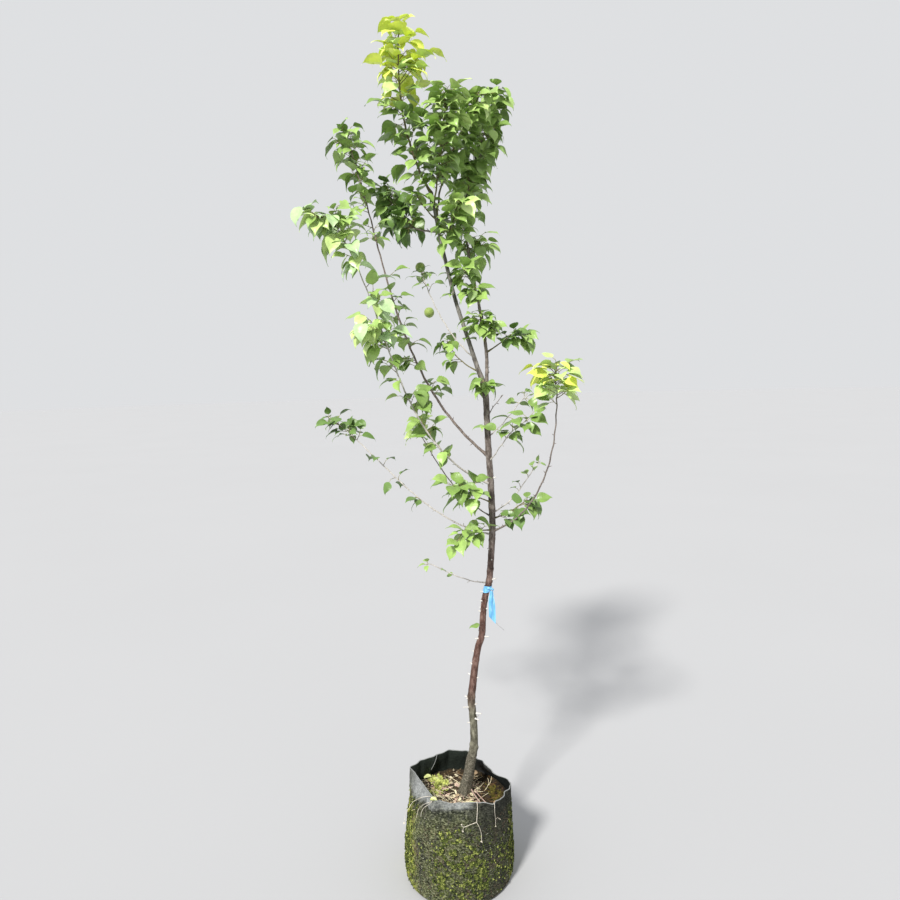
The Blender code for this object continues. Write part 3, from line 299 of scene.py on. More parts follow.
# Dry stems that hang over the bag's rim, as points of compass angle, height and distance off the
# wall, with the radius at the foot
WEEDS = (
    (0.0008, ((294, 0.255, -0.012), (294, 0.2665, 0.000), (293.2, 0.2586, 0.006), (291.0, 0.2448, 0.007),
              (287.9, 0.2334, 0.007))),
    (0.0006, ((287.9, 0.2334, 0.007), (281.2, 0.2302, 0.007), (275.0, 0.2264, 0.007), (273.1, 0.235, 0.008))),
    (0.0005, ((275.0, 0.2264, 0.007), (274.2, 0.2166, 0.007))),
    (0.0006, ((287.9, 0.2334, 0.007), (290.7, 0.2168, 0.006), (292.3, 0.2002, 0.006), (292.3, 0.182, 0.006))),
    (0.0005, ((308, 0.255, -0.010), (307.6, 0.2665, 0.000), (306.8, 0.2452, 0.005), (309.5, 0.220, 0.005),
              (309.6, 0.2022, 0.005))),
    (0.0004, ((309.5, 0.220, 0.005), (312.5, 0.2202, 0.006), (314.8, 0.2154, 0.008))),
    (0.0006, ((242, 0.255, -0.014), (238, 0.2665, 0.000), (229.3, 0.264, 0.005), (214.3, 0.249, 0.008),
              (201.8, 0.2308, 0.010), (195.6, 0.216, 0.012), (194.2, 0.1996, 0.013), (192.8, 0.182, 0.013),
              (193.4, 0.1612, 0.012))),
    (0.0005, ((240, 0.255, -0.012), (237, 0.2665, 0.000), (232.2, 0.255, 0.005), (223.3, 0.2428, 0.006),
              (214.7, 0.2258, 0.008), (213.6, 0.2156, 0.009), (217.0, 0.2060, 0.008))),
    (0.0005, ((236, 0.262, 0.003), (231.1, 0.2492, 0.006), (223.0, 0.2336, 0.007), (222.7, 0.2254, 0.007),
              (225.7, 0.2196, 0.007))),
)
# Dry heads on those stems: compass angle, height, distance off the wall, size
WEED_HEADS = ((292.3, 0.182, 0.006, 0.0036), (273.1, 0.235, 0.008, 0.0024), (274.2, 0.2166, 0.007, 0.0026),
              (193.4, 0.1612, 0.012, 0.0034), (309.6, 0.2022, 0.005, 0.0022), (314.8, 0.2154, 0.008, 0.0022))
# Pale straws and sticks on the soil: foot and tip east and north, the tip's height over the soil, radius
STRAWS = ((0.034, 0.050, 0.058, -0.098, 0.058, 0.0021), (0.048, 0.030, 0.072, -0.096, 0.056, 0.0017),
          (0.040, 0.052, 0.060, 0.058, 0.004, 0.0018), (0.074, 0.033, 0.087, 0.058, 0.008, 0.0012),
          (0.087, 0.058, 0.097, 0.080, 0.014, 0.0010), (0.087, 0.058, 0.086, 0.080, 0.012, 0.0009),
          (0.030, -0.020, 0.075, -0.045, 0.012, 0.0012), (-0.066, 0.034, -0.050, -0.088, 0.060, 0.0014),
          (0.075, 0.070, 0.052, 0.012, 0.006, 0.0009), (-0.090, 0.060, -0.052, 0.010, 0.006, 0.0009),
          (-0.070, -0.030, -0.066, 0.020, 0.004, 0.0010), (-0.020, -0.070, 0.045, -0.085, 0.008, 0.0009),
          (0.010, 0.060, -0.030, 0.100, 0.006, 0.0009), (0.085, 0.020, 0.050, -0.030, 0.010, 0.0008))
STRAW_COUNT = 950
CHIP_COUNT = 1100
LITTER_LEAVES = 12
# Green leaves on the soil and the lip: east, north, height over the soil, compass angle, length
SOIL_LEAVES = ((-0.094, 0.090, 0.006, 4, 0.028), (-0.070, -0.090, 0.062, 345, 0.023),
               (-0.066, 0.078, 0.006, 20, 0.020), (0.030, -0.094, 0.050, 5, 0.018))
# Moss on the soil: kind, east, north, spread, least and greatest size, tufts
SOIL_MOSS = (("grass", -0.060, 0.086, 0.008, 0.004, 0.011, 120), ("grass", -0.046, 0.062, 0.008, 0.005, 0.013, 150),
             ("grass", -0.066, 0.028, 0.008, 0.003, 0.008, 60), ("grass", 0.020, -0.080, 0.018, 0.002, 0.006, 90),
             ("olive", 0.104, 0.014, 0.009, 0.002, 0.006, 240), ("olive", 0.094, 0.044, 0.008, 0.002, 0.006, 120))
HOLLOW = (-0.028, 0.036, 0.019, 0.010)  # dark hollow in the soil: east, north and half widths

# Tints are dealt to the limbs partly as painted light: the deep tint as painted shade on limbs at the back and low
# down, the young and pale tints partly as painted sunlight on the top, the right tip and the left tip.
COLOURS = {             # leaf tints: name, base colour, roughness
    "p": ("pale", (0.46, 0.64, 0.32), 0.34), "y": ("young", (0.76, 0.87, 0.15), 0.36),
    "l": ("light", (0.55, 0.72, 0.25), 0.36),
    "f": ("fresh", (0.31, 0.47, 0.12), 0.36), "m": ("mid", (0.200, 0.325, 0.075), 0.36),
    "d": ("deep_shade", (0.125, 0.225, 0.052), 0.36),
}


def compass(angle, rise=0.0):
    """Unit vector at a compass angle and a rise, both in degrees."""
    a, e = math.radians(angle), math.radians(rise)
    return Vector((math.cos(e) * math.cos(a), math.cos(e) * math.sin(a), math.sin(e)))


def lerp(pair, share):
    return pair[0] + (pair[1] - pair[0]) * share


def smooth(low, high, value):
    share = min(1.0, max(0.0, (value - low) / (high - low)))
    return share * share * (3 - 2 * share)


def bell(offset, width):
    return math.exp(-(offset / width) ** 2)


class Heap:
    """Points and faces of many small pieces that become one object."""

    def __init__(self):
        self.points, self.faces, self.count = [], [], 0

    def add(self, points, faces):
        array = np.asarray([tuple(p) for p in points] if isinstance(points, list) else points, float)
        self.points.append(array)
        self.faces += [tuple(i + self.count for i in face) for face in faces]
        self.count += len(array)

    def build(self, name, finish, slot, nodes=(), crisp=60):
        mesh = bpy.data.meshes.new(name)
        mesh.from_pydata(np.concatenate(self.points).tolist(), [], self.faces)
        mesh.validate()
        mesh.materials.append(finish)
        mesh.shade_smooth()
        mesh.set_sharp_from_angle(angle=math.radians(crisp))
        made = bpy.data.objects.new(name, mesh)
        bpy.context.scene.collection.objects.link(made)
        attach(made, "root")
        if nodes:
            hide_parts(*nodes)
        return made


# Finishes

class Finish:
    """A node material built up from noise, ramps and bumps in the object's own coordinates."""

    def __init__(self, name, roughness, specular=0.5, sheen=0.0):
        self.material = bpy.data.materials.new(name)
        self.material.use_nodes = True
        self.tree = self.material.node_tree
        self.shader = self.tree.nodes["Principled BSDF"]
        self.shader.inputs["Roughness"].default_value = roughness
        self.shader.inputs["Specular IOR Level"].default_value = specular
        self.shader.inputs["Sheen Weight"].default_value = sheen
        self.place = self.tree.nodes.new("ShaderNodeTexCoord").outputs["Object"]
        self.normal = None

    def node(self, kind, **values):
        made = self.tree.nodes.new("ShaderNode" + kind)
        for key, value in values.items():
            if key in made.inputs:
                made.inputs[key].default_value = value
            else:
                setattr(made, key, value)
        return made

    def link(self, source, target):
        self.tree.links.new(source, target)

    def stretched(self, scale):
        mapping = self.node("Mapping")
        mapping.inputs["Scale"].default_value = scale
        self.link(self.place, mapping.inputs["Vector"])
        return mapping.outputs["Vector"]

    def noise(self, scale, detail=4.0, stretch=None, rough=0.6):
        made = self.node("TexNoise", Scale=scale, Detail=detail, Roughness=rough)
        self.link(self.stretched(stretch) if stretch else self.place, made.inputs["Vector"])
        return made.outputs["Fac"]

    def axis(self, letter):
        split = self.node("SeparateXYZ")
        self.link(self.place, split.inputs["Vector"])
        return split.outputs[letter]

    def spread(self, value, low, high, start=0.0, end=1.0):
        """A value's range from low to high, spread from start to end."""
        made = self.node("MapRange")
        for socket, number in (("From Min", low), ("From Max", high), ("To Min", start), ("To Max", end)):
            made.inputs[socket].default_value = number
        self.link(value, made.inputs["Value"])
        return made.outputs["Result"]

    def height(self, low, high):
        """0 below a height and 1 above another."""
        return self.spread(self.axis("Z"), low, high)

    def sums(self, operation, first, second):
        made = self.node("Math", operation=operation)
        self.link(first, made.inputs[0])
        self.link(second, made.inputs[1])
        return made.outputs["Value"]

    def ramp(self, value, stops):
        made = self.node("ValToRGB")
        band = made.color_ramp
        while len(band.elements) < len(stops):
            band.elements.new(0.5)
        for element, (spot, colour) in zip(band.elements, stops):
            element.position = spot
            element.color = (*colour, 1.0)
        self.link(value, made.inputs["Fac"])
        return made.outputs["Color"]

    def mix(self, share, below, above):
        made = self.node("Mix", data_type="RGBA")
        self.link(share, made.inputs["Factor"])
        self.link(below, made.inputs[6])
        self.link(above, made.inputs[7])
        return made.outputs[2]

    def colour(self, source):
        self.link(source, self.shader.inputs["Base Color"])

    def bump(self, value, distance, strength=1.0):
        made = self.node("Bump", Strength=strength, Distance=distance)
        self.link(value, made.inputs["Height"])
        if self.normal:
            self.link(self.normal, made.inputs["Normal"])
        self.normal = made.outputs["Normal"]
        self.link(self.normal, self.shader.inputs["Normal"])


def shade(colour, factor):
    return tuple(min(1.0, c * factor) for c in colour)


def speckled(name, dark, light, scale, roughness, distance=0.0004, stretch=None, specular=0.3):
    """A finish of two tones in fine noise, with a matching bump."""
    finish = Finish(name, roughness, specular)
    grain = finish.noise(scale, stretch=stretch)
    finish.colour(finish.ramp(grain, ((0.32, dark), (0.68, light))))
    finish.bump(grain, distance)
    return finish.material


def leaf_finish(letter):
    name, colour, roughness = COLOURS[letter]
    finish = Finish("leaf_" + name, roughness, 0.5)
    patches = finish.noise(34, 3.0)
    finish.colour(finish.ramp(patches, ((0.30, shade(colour, 0.72)), (0.52, colour),
                                        (0.74, shade(colour, 1.22)))))
    finish.bump(finish.noise(700, 3.0), 0.0002, 0.6)
    return finish.material


def trunk_finish():
    """Grey-green mottled bark at the foot, red-brown with pale marks above it, greyer further up."""
    finish = Finish("trunk_bark", 0.85, 0.25)
    grain = finish.noise(230, 7.0, (1.0, 1.0, 1.9), 0.70)
    streaks = finish.noise(115, 6.0, (1.0, 1.0, 0.42), 0.62)
    body = None
    for low, high, noise_at, dark, middle, light in (
            (None, None, grain, (0.026, 0.023, 0.016), (0.088, 0.080, 0.058), (0.340, 0.320, 0.250)),
            (0.31, 0.36, streaks, (0.046, 0.042, 0.028), (0.124, 0.118, 0.084), (0.290, 0.280, 0.210)),
            (0.43, 0.50, streaks, (0.044, 0.021, 0.016), (0.112, 0.059, 0.047), (0.230, 0.148, 0.122)),
            (0.76, 0.92, streaks, (0.055, 0.043, 0.037), (0.138, 0.112, 0.099), (0.290, 0.258, 0.236)),
            (1.30, 1.40, streaks, (0.070, 0.064, 0.056), (0.160, 0.150, 0.135), (0.310, 0.298, 0.272))):
        bark = finish.ramp(noise_at, ((0.34, dark), (0.50, middle), (0.68, light)))
        body = finish.mix(finish.height(low, high), body, bark) if low else bark
    specks = finish.noise(520, 2.0, (1.0, 1.0, 1.5))
    pale = finish.ramp(specks, ((0.0, (0.36, 0.32, 0.28)), (1.0, (0.52, 0.48, 0.43))))
    finish.colour(finish.mix(finish.ramp(specks, ((0.64, (0, 0, 0)), (0.70, (0.65, 0.65, 0.65)))), body, pale))
    finish.bump(grain, 0.0009)
    finish.bump(finish.noise(420, 3.0, (0.35, 0.35, 1.8)), 0.0005)
    return finish.material


def bark_finish(kind):
    dark, light = {
        "dark": ((0.080, 0.062, 0.054), (0.270, 0.222, 0.195)),
        "grey": ((0.090, 0.074, 0.064), (0.300, 0.255, 0.225)),
        "pale": ((0.260, 0.240, 0.215), (0.680, 0.640, 0.590)),
        "green": ((0.080, 0.070, 0.036), (0.250, 0.225, 0.105)),
    }[kind]
    return speckled("bark_" + kind, dark, light, 260, 0.75, 0.0004, (1.0, 1.0, 0.5))


def felt_finish():
    """Weathered felt: charcoal under olive film, brown and mossy in places, with a painted sheen on the front lip and
    painted shade under its crease and on the upper right.
    """
    finish = Finish("grow_bag_felt", 0.95, 0.10)
    fibres = finish.noise(175, 8.0, (1.0, 1.0, 1.8), 0.78)
    cloud = finish.noise(24, 5.0)
    film = finish.noise(75, 6.0, (1.0, 1.0, 0.6))
    x, y, z = (finish.axis(letter) for letter in "XYZ")
    bare = finish.ramp(fibres, ((0.40, (0.005, 0.006, 0.005)), (0.50, (0.024, 0.026, 0.021)),
                                (0.62, (0.115, 0.120, 0.095))))
    green = finish.ramp(fibres, ((0.40, (0.009, 0.012, 0.004)), (0.50, (0.074, 0.082, 0.038)),
                                 (0.61, (0.300, 0.315, 0.180))))
    thick = finish.ramp(film, ((0.34, (0, 0, 0)), (0.56, (1, 1, 1))))
    leftward = finish.spread(x, 0.015, 0.075, 1.0, 0.45)
    body = finish.mix(finish.sums("MULTIPLY", thick, leftward), bare, green)
    brown = finish.ramp(fibres, ((0.38, (0.012, 0.009, 0.007)), (0.63, (0.200, 0.145, 0.110))))
    body = finish.mix(finish.ramp(cloud, ((0.54, (0, 0, 0)), (0.70, (0.70, 0.70, 0.70)))), body, brown)
    moss = finish.ramp(fibres, ((0.40, (0.050, 0.066, 0.006)), (0.58, (0.600, 0.660, 0.090))))
    ragged = finish.sums("ADD", x, finish.spread(finish.noise(38, 6.0), 0.35, 0.65, -0.010, 0.010))
    sides = finish.sums("ADD", finish.spread(ragged, -0.138, -0.108, 1.0, 0.0),
                        finish.spread(ragged, 0.126, 0.146, 0.0, 0.9))
    sides = finish.sums("MULTIPLY", sides, finish.spread(z, 0.19, 0.23, 1.0, 0.0))
    patchy = finish.ramp(film, ((0.38, (0, 0, 0)), (0.54, (1, 1, 1))))
    body = finish.mix(finish.sums("MULTIPLY", sides, patchy), body, moss)
    edge = finish.sums("ADD", finish.spread(x, -0.145, -0.070, 0.196, 0.240), finish.spread(x, -0.070, -0.010, 0.0, 0.0075))
    above = finish.sums("SUBTRACT", z, edge)
    # Painted shade: the felt turns to bare charcoal towards the crease under the lip and stays so above it.
    body = finish.mix(finish.spread(above, -0.022, 0.0, 0.0, 0.75), body, bare)
    # Painted shade: the upper right of the felt is mixed to near black, where the bag faces away from the light.
    deep_shade = finish.ramp(fibres, ((0.38, (0.004, 0.005, 0.004)), (0.63, (0.058, 0.060, 0.048))))
    corner = finish.sums("MULTIPLY", finish.spread(x, 0.020, 0.065, 0.0, 0.85), finish.spread(z, 0.12, 0.22, 0.0, 1.0))
    body = finish.mix(corner, body, deep_shade)
    # Painted highlight: a pale blue-grey sheen where light falls on the front lip and the upper left panel.
    painted_sheen = finish.ramp(fibres, ((0.36, (0.150, 0.160, 0.162)), (0.64, (0.400, 0.415, 0.410))))
    across = finish.ramp(finish.spread(x, -0.145, 0.075), LIP_SHEEN)
    lip = finish.sums("MULTIPLY", finish.spread(finish.sums("ADD", above, finish.spread(film, 0.35, 0.65, -0.002, 0.004)),
                                                0.0, 0.012), across)
    lip = finish.sums("MULTIPLY", lip, finish.spread(y, 0.06, 0.0))
    lip = finish.sums("MULTIPLY", lip, finish.spread(x, 0.035, 0.060, 1.0, 0.35))
    lip = finish.sums("MULTIPLY", lip, finish.spread(film, 0.30, 0.55, 0.60, 1.0))
    finish.colour(finish.mix(lip, body, painted_sheen))
    rows = finish.node("TexWave", Scale=52.0, Distortion=2.2, Detail=3.0, bands_direction="Z")
    rows.inputs["Detail Scale"].default_value = 3.0
    finish.link(finish.place, rows.inputs["Vector"])
    finish.bump(rows.outputs["Fac"], 0.0007, 0.6)
    finish.bump(fibres, 0.0016, 0.9)
    return finish.material


def lining_finish():
    """The bag's inside: dark, with a painted sunlit patch on the flat panel at the right of the back, and painted
    shade, nearly black, in the corner at the far right.
    """
    finish = Finish("felt_lining", 0.95, 0.10)
    fibres = finish.noise(190, 8.0, (1.0, 1.0, 1.7), 0.80)
    dark = finish.ramp(fibres, ((0.36, (0.009, 0.012, 0.010)), (0.64, (0.036, 0.046, 0.038))))
    sunlit = finish.ramp(fibres, ((0.36, (0.024, 0.025, 0.026)), (0.64, (0.082, 0.084, 0.085))))
    # Painted sunlight on the flat panel at the right of the back.
    panel = finish.sums("MULTIPLY", finish.spread(finish.axis("X"), 0.052, 0.066),
                        finish.spread(finish.axis("Y"), 0.002, 0.016))
    # Painted shade: the inside of the far right corner turns nearly black.
    shaded_corner = finish.spread(finish.axis("X"), 0.088, 0.100)
    shaded_black = finish.ramp(fibres, ((0.36, (0.003, 0.004, 0.004)), (0.64, (0.014, 0.017, 0.015))))
    finish.colour(finish.mix(shaded_corner, finish.mix(panel, dark, sunlit), shaded_black))
    finish.bump(fibres, 0.0006)
    return finish.material


# Tubes

def cross_frame(direction):
    side = direction.cross(Vector((0, 0, 1)))
    if side.length < 1e-4:
        side = Vector((1, 0, 0))
    side.normalize()
    return side, side.cross(direction).normalized()


def tube(centres, radii, sides, relief=None):
    """Points and faces of a closed tube. relief(ring, angle, point) moves a point outward."""
    points, faces = [], []
    side, up = cross_frame((centres[1] - centres[0]).normalized())
    for k, centre in enumerate(centres):
        ahead = centres[min(k + 1, len(centres) - 1)] - centres[max(k - 1, 0)]
        ahead.normalize()
        side = (side - ahead * side.dot(ahead)).normalized()
        up = side.cross(ahead)
        for s in range(sides):
            angle = 2 * math.pi * s / sides
            out = side * math.cos(angle) - up * math.sin(angle)
            spot = centre + out * radii[k]
            points.append(spot + out * relief(k, angle, spot) if relief else spot)
    for k in range(len(centres) - 1):
        for s in range(sides):
            a, b = k * sides + s, k * sides + (s + 1) % sides
            faces.append((a, b, b + sides, a + sides))
    last = (len(centres) - 1) * sides
    faces.append(tuple(reversed(range(sides))))
    faces.append(tuple(range(last, last + sides)))
    return points, faces


def curve_through(points, steps):
    """A smooth curve through points, as evenly many spots between each pair."""
    spots = []
    for k in range(len(points) - 1):
        a, b = points[k], points[k + 1]
        before, after = points[max(k - 1, 0)], points[min(k + 2, len(points) - 1)]
        for s in range(steps):
            t = s / steps
            spots.append(((-t + 2 * t * t - t ** 3) * before + (2 - 5 * t * t + 3 * t ** 3) * a
                          + (t + 4 * t * t - 3 * t ** 3) * b + (t ** 3 - t * t) * after) / 2)
    return spots + [points[-1]]


def sliver(base, tip, radius, sides=5, bend=0.0, steps=3):
    """A thin twig from base to tip that narrows and bends sideways."""
    ahead = (tip - base).normalized()
    side = cross_frame(ahead)[0]
    centres = [base.lerp(tip, k / steps) + side * bend * math.sin(math.pi * k / steps)
               for k in range(steps + 1)]
    return tube(centres, [radius * (1 - 0.5 * k / steps) for k in range(steps + 1)], sides)


# Grow bag

def rim_line(angle):
    """Radius and height of the rim at a compass angle: straight panels between the corners."""
    angle %= 360
    count = len(RIM_CORNERS)
    k = max((i for i in range(count) if RIM_CORNERS[i][0] <= angle), default=count - 1)
    here, there = RIM_CORNERS[k], RIM_CORNERS[(k + 1) % count]
    span = (there[0] - here[0]) % 360
    a, b = compass(here[0]) * here[1], compass(there[0]) * there[1]
    ray, edge = compass(angle), b - a
    radius = (a.x * edge.y - a.y * edge.x) / (ray.x * edge.y - ray.y * edge.x)
    return radius, BAG_HEIGHT + lerp((here[2], there[2]), ((angle - here[0]) % 360) / span)


def rim_at(angle):
    """The rim with its corners rounded a little."""
    near = [rim_line(angle + RIM_ROUND * k / 2) for k in (-2, -1, 0, 1, 2)]
    return sum(n[0] for n in near) / 5, sum(n[1] for n in near) / 5


def body_radius(height):
    if height < BAG_FOOT_ROUND:
        drop = 1 - height / BAG_FOOT_ROUND
        return BAG_FLOOR_RADIUS - BAG_FOOT_ROUND * (1 - math.sqrt(max(0.0, 1 - drop * drop)))
    if height < BAG_BELLY_HEIGHT:
        share = (height - BAG_FOOT_ROUND) / (BAG_BELLY_HEIGHT - BAG_FOOT_ROUND)
        return lerp((BAG_FLOOR_RADIUS, BAG_BELLY_RADIUS), math.sin(share * math.pi / 2))
    share = min(1, (height - BAG_BELLY_HEIGHT) / (BAG_SHOULDER_HEIGHT - BAG_BELLY_HEIGHT))
    return lerp((BAG_BELLY_RADIUS, BAG_SHOULDER_RADIUS), share * share)


def read_off(table, value):
    """Read a table of pairs at a value, with smooth steps between its rows."""
    value = min(max(value, table[0][0]), table[-1][0])
    for (a, low), (b, high) in zip(table, table[1:]):
        if value <= b:
            return lerp((low, high), smooth(a, b, value))


def wrinkle(angle, height):
    """How far the felt stands in or out of its plain shape."""
    out = compass(angle)
    spot = Vector((out.x * 1.6, out.y * 1.6, height * 9))
    move = noise.fractal(spot * 1.4, 0.8, 2.0, 4) * 0.0022
    move += noise.noise(Vector((out.x * 7, out.y * 7, height * 55))) * 0.0007
    upper = smooth(0.150, 0.250, height)
    for corner in RIM_CORNERS:
        away = (angle - corner[0] + 180) % 360 - 180
        move += bell(away, 3.2) * 0.0022 * upper
        move -= bell(away - 7, 4.5) * 0.0016 * upper
    fan = bell((angle - 236 + 180) % 360 - 180, 9) * bell(height - 0.247, 0.016)
    move += math.sin((angle - 228) * 1.1 + height * 160) * 0.0019 * fan
    front = smooth(214, 236, angle) * (1 - smooth(288, 304, angle))
    crease = height - read_off(LIP_CREASE, angle)
    move += (0.0042 * bell(crease - 0.0065, 0.0055) - 0.0058 * bell(crease + 0.001, 0.0036)) * front
    pleats = smooth(292, 302, angle) * (1 - smooth(338, 352, angle)) * upper
    move += math.sin(angle * 0.62) * 0.0014 * pleats
    for side, level, wide, tall, depth in DENTS:
        move -= depth * bell((angle - side + 180) % 360 - 180, wide) * bell(height - level, tall)
    return move * smooth(0.0, 0.02, height)


def wall_spot(angle, height, off=0.0):
    """A point off the bag's outer wall."""
    rim_radius, rim_height = rim_at(angle)
    slump = smooth(read_off(SHOULDERS, angle % 360), BAG_HEIGHT, height)
    radius = lerp((body_radius(min(height, BAG_HEIGHT)), rim_radius), slump)
    radius += wrinkle(angle, height) + off
    return compass(angle) * radius + Vector((0, 0, height + (rim_height - BAG_HEIGHT) * slump))


def make_bag():
    heap, edge, inner = Heap(), Heap(), Heap()
    heights = [BAG_FOOT_ROUND * k / 6 for k in range(6)]
    heights += [lerp((BAG_FOOT_ROUND, SOIL_LEVEL), k / BAG_ROWS[0]) for k in range(BAG_ROWS[0])]
    heights += [lerp((SOIL_LEVEL, BAG_HEIGHT), k / BAG_ROWS[1]) for k in range(BAG_ROWS[1] + 1)]
    angles = [360 * k / BAG_STEPS for k in range(BAG_STEPS)]
    rings = [[wall_spot(a, h) for a in angles] for h in heights]
    points = [p for ring in rings for p in ring]
    rows = len(rings)
    faces = grid_faces(rows, BAG_STEPS)
    faces.append(tuple(reversed(range(BAG_STEPS))))
    heap.add(points, faces)
    heap.build("grow_bag_wall", felt_finish(), "bag", ("grow_bag",), 50)

    inner_heights = [lerp((BAG_HEIGHT, 0.178), k / 22) for k in range(23)]
    rings = [[wall_spot(a, h, -BAG_WALL) for a in angles] for h in inner_heights]
    inner.add([p for ring in rings for p in ring], grid_faces(23, BAG_STEPS))
    # The seam's lap: a strip inside the back left, whose cut edge leans over
    lap = []
    for k in range(9):
        height = lerp((BAG_HEIGHT - 0.001, 0.205), k / 8)
        for turn in (0, 2, 5, 7):
            lap.append(wall_spot(119 + turn + k * 0.5, height, -BAG_WALL - (0.0018 if 0 < turn < 7 else 0.0)))
    inner.add(lap, [(r * 4 + c, r * 4 + c + 1, r * 4 + c + 5, r * 4 + c + 4) for r in range(8) for c in range(3)])
    inner.build("grow_bag_lining", lining_finish(), "bag", (), 50)

    line = [(wall_spot(a, BAG_HEIGHT, -BAG_WALL / 2) + Vector((0, 0, 0.0002))) for a in angles]
    points, faces = [], []
    for k, centre in enumerate(line):
        out = compass(angles[k])
        fray = 0.00045 * noise.noise(centre * 900)
        for s in range(8):
            turn = math.pi / 4 * s
            points.append(centre + out * math.cos(turn) * (BAG_WALL / 2 + fray)
                          + Vector((0, 0, math.sin(turn) * (0.0012 + fray))))
    for k in range(BAG_STEPS):
        for s in range(8):
            a, b = k * 8 + s, k * 8 + (s + 1) % 8
            faces.append((a, (a + 8) % (BAG_STEPS * 8), (b + 8) % (BAG_STEPS * 8), b))
    edge.add(points, faces)
    fall = [wall_spot(119 + k * 0.9, lerp((BAG_HEIGHT + 0.001, 0.222), k / 8), -BAG_WALL - 0.002)
            for k in range(9)]
    edge.add(*tube(fall, [0.0011] * 9, 8))
    edge.build("grow_bag_rim", speckled("felt_edge", (0.14, 0.15, 0.15), (0.34, 0.35, 0.34), 700, 0.95,
                                        0.0004), "bag", (), 60)


def grid_faces(rows, count):
    """Quads between closed rings."""
    return [(r * count + k, r * count + (k + 1) % count, (r + 1) * count + (k + 1) % count,
             (r + 1) * count + k) for r in range(rows - 1) for k in range(count)]


def tuft(chance, spot, out, size):
    """A rosette of small folded blades."""
    side, up = cross_frame(out)
    points, faces = [], []
    turn = chance.uniform(0, 360)
    for k in range(TUFT_BLADES):
        a = math.radians(turn + k * 360 / TUFT_BLADES + chance.uniform(-18, 18))
        lean = chance.uniform(0.35, 1.1)
        ahead = (out * math.cos(lean) + (side * math.cos(a) + up * math.sin(a)) * math.sin(lean))
        across = ahead.cross(out).normalized() * size * 0.30
        length = size * chance.uniform(0.6, 1.15)
        first = len(points)
        middle = spot + ahead * length * 0.5
        points += [spot, middle - across, middle + out * size * 0.12, middle + across,
                   spot + ahead * length]
        faces += [(first, first + 1, first + 2), (first, first + 2, first + 3),
                  (first + 1, first + 4, first + 2), (first + 2, first + 4, first + 3)]
    return points, faces


def make_moss():
    chance = random.Random(SEED + 2)
    # The dark tufts stand partly for painted shadow among and beneath the moss clumps.
    tones = {"bright": ((0.09, 0.12, 0.014), (0.54, 0.58, 0.17)), "green": ((0.010, 0.018, 0.003), (0.150, 0.195, 0.034)),
             "dark": ((0.003, 0.006, 0.002), (0.026, 0.036, 0.009)),
             "brown": ((0.030, 0.018, 0.011), (0.26, 0.18, 0.12)), "lint": ((0.20, 0.21, 0.16), (0.52, 0.53, 0.42))}
    heaps = {kind: Heap() for kind in tones}
    for angle, height, turn, rise, count in MOSS_PATCHES:
        for _ in range(round(count * MOSS_SHARE)):
            a = angle + chance.gauss(0, 0.55) * turn
            h = height + chance.gauss(0, 0.55) * rise
            thick = noise.fractal(Vector((a * 0.16, h * 62, 3.0)), 0.6, 2.0, 3)
            if not 0.006 < h < 0.215 or thick < 0.04:
                continue
            kind = "bright" if chance.random() < 0.8 * thick else chance.choice(("green", "green", "dark"))
            spot = wall_spot(a, h, -0.0003)
            heaps[kind].add(*tuft(chance, spot, (compass(a) + Vector((0, 0, 0.35))).normalized(),
                                  chance.uniform(*MOSS_BLADE)))
    for _ in range(MOSS_SPECKS):
        a, h = chance.uniform(0, 360), chance.uniform(0.010, 0.225)
        kind = "green" if noise.noise(Vector((a * 0.06, h * 20, 8.0))) > 0.0 else "brown"
        if chance.random() < 0.12:
            kind = "lint"
        heaps[kind].add(*tuft(chance, wall_spot(a, h, -0.0002), compass(a), chance.uniform(*SPECK_SIZES)))
    for kind, (dark, light) in tones.items():
        heaps[kind].build("moss_" + kind, speckled("moss_" + kind, dark, light, 300, 0.8), "foliage")


# Soil and litter

def soil_height(x, y):
    rough = noise.fractal(Vector((x * 26, y * 26, 1.7)), 0.7, 2.0, 5) * 0.0042
    crumbs = noise.noise(Vector((x * 190, y * 190, 4.0))) * 0.0014
    mound = 0.007 * bell(math.hypot(x - TRUNK_STATIONS[0][1], y - TRUNK_STATIONS[0][2]), 0.05)
    return SOIL_LEVEL + rough + crumbs + mound - 0.012 * in_hollow(x, y)


def in_hollow(x, y):
    """How far a place is inside the dark hollow beside the trunk, from 0 to 1."""
    return bell(math.hypot((x - HOLLOW[0]) / HOLLOW[2], (y - HOLLOW[1]) / HOLLOW[3]), 1.0)


def soil_edge(angle):
    """Distance from the middle to the felt at the soil's level."""
    spot = wall_spot(angle, SOIL_LEVEL, -BAG_WALL)
    return math.hypot(spot.x, spot.y)


def make_soil():
    heap = Heap()
    rings, steps = 46, 180
    points = []
    edges = [soil_edge(360 * k / steps) + 0.001 for k in range(steps)]
    for r in range(rings):
        for k in range(steps):
            out = compass(360 * k / steps) * (edges[k] * (r + 0.4) / (rings - 0.6))
            points.append(Vector((out.x, out.y, soil_height(out.x, out.y))))
    faces = grid_faces(rings, steps)
    faces = [tuple(reversed(f)) for f in faces] + [tuple(range(steps))]
    heap.add(points, faces)
    # The soil is very dark so that the gaps between the chips read dark, partly as painted shade.
    heap.build("soil_surface", speckled("dark_soil", (0.006, 0.005, 0.003), (0.080, 0.058, 0.030), 300,
                                        0.95, 0.0015), "potting_mix", ("soil",), 60)


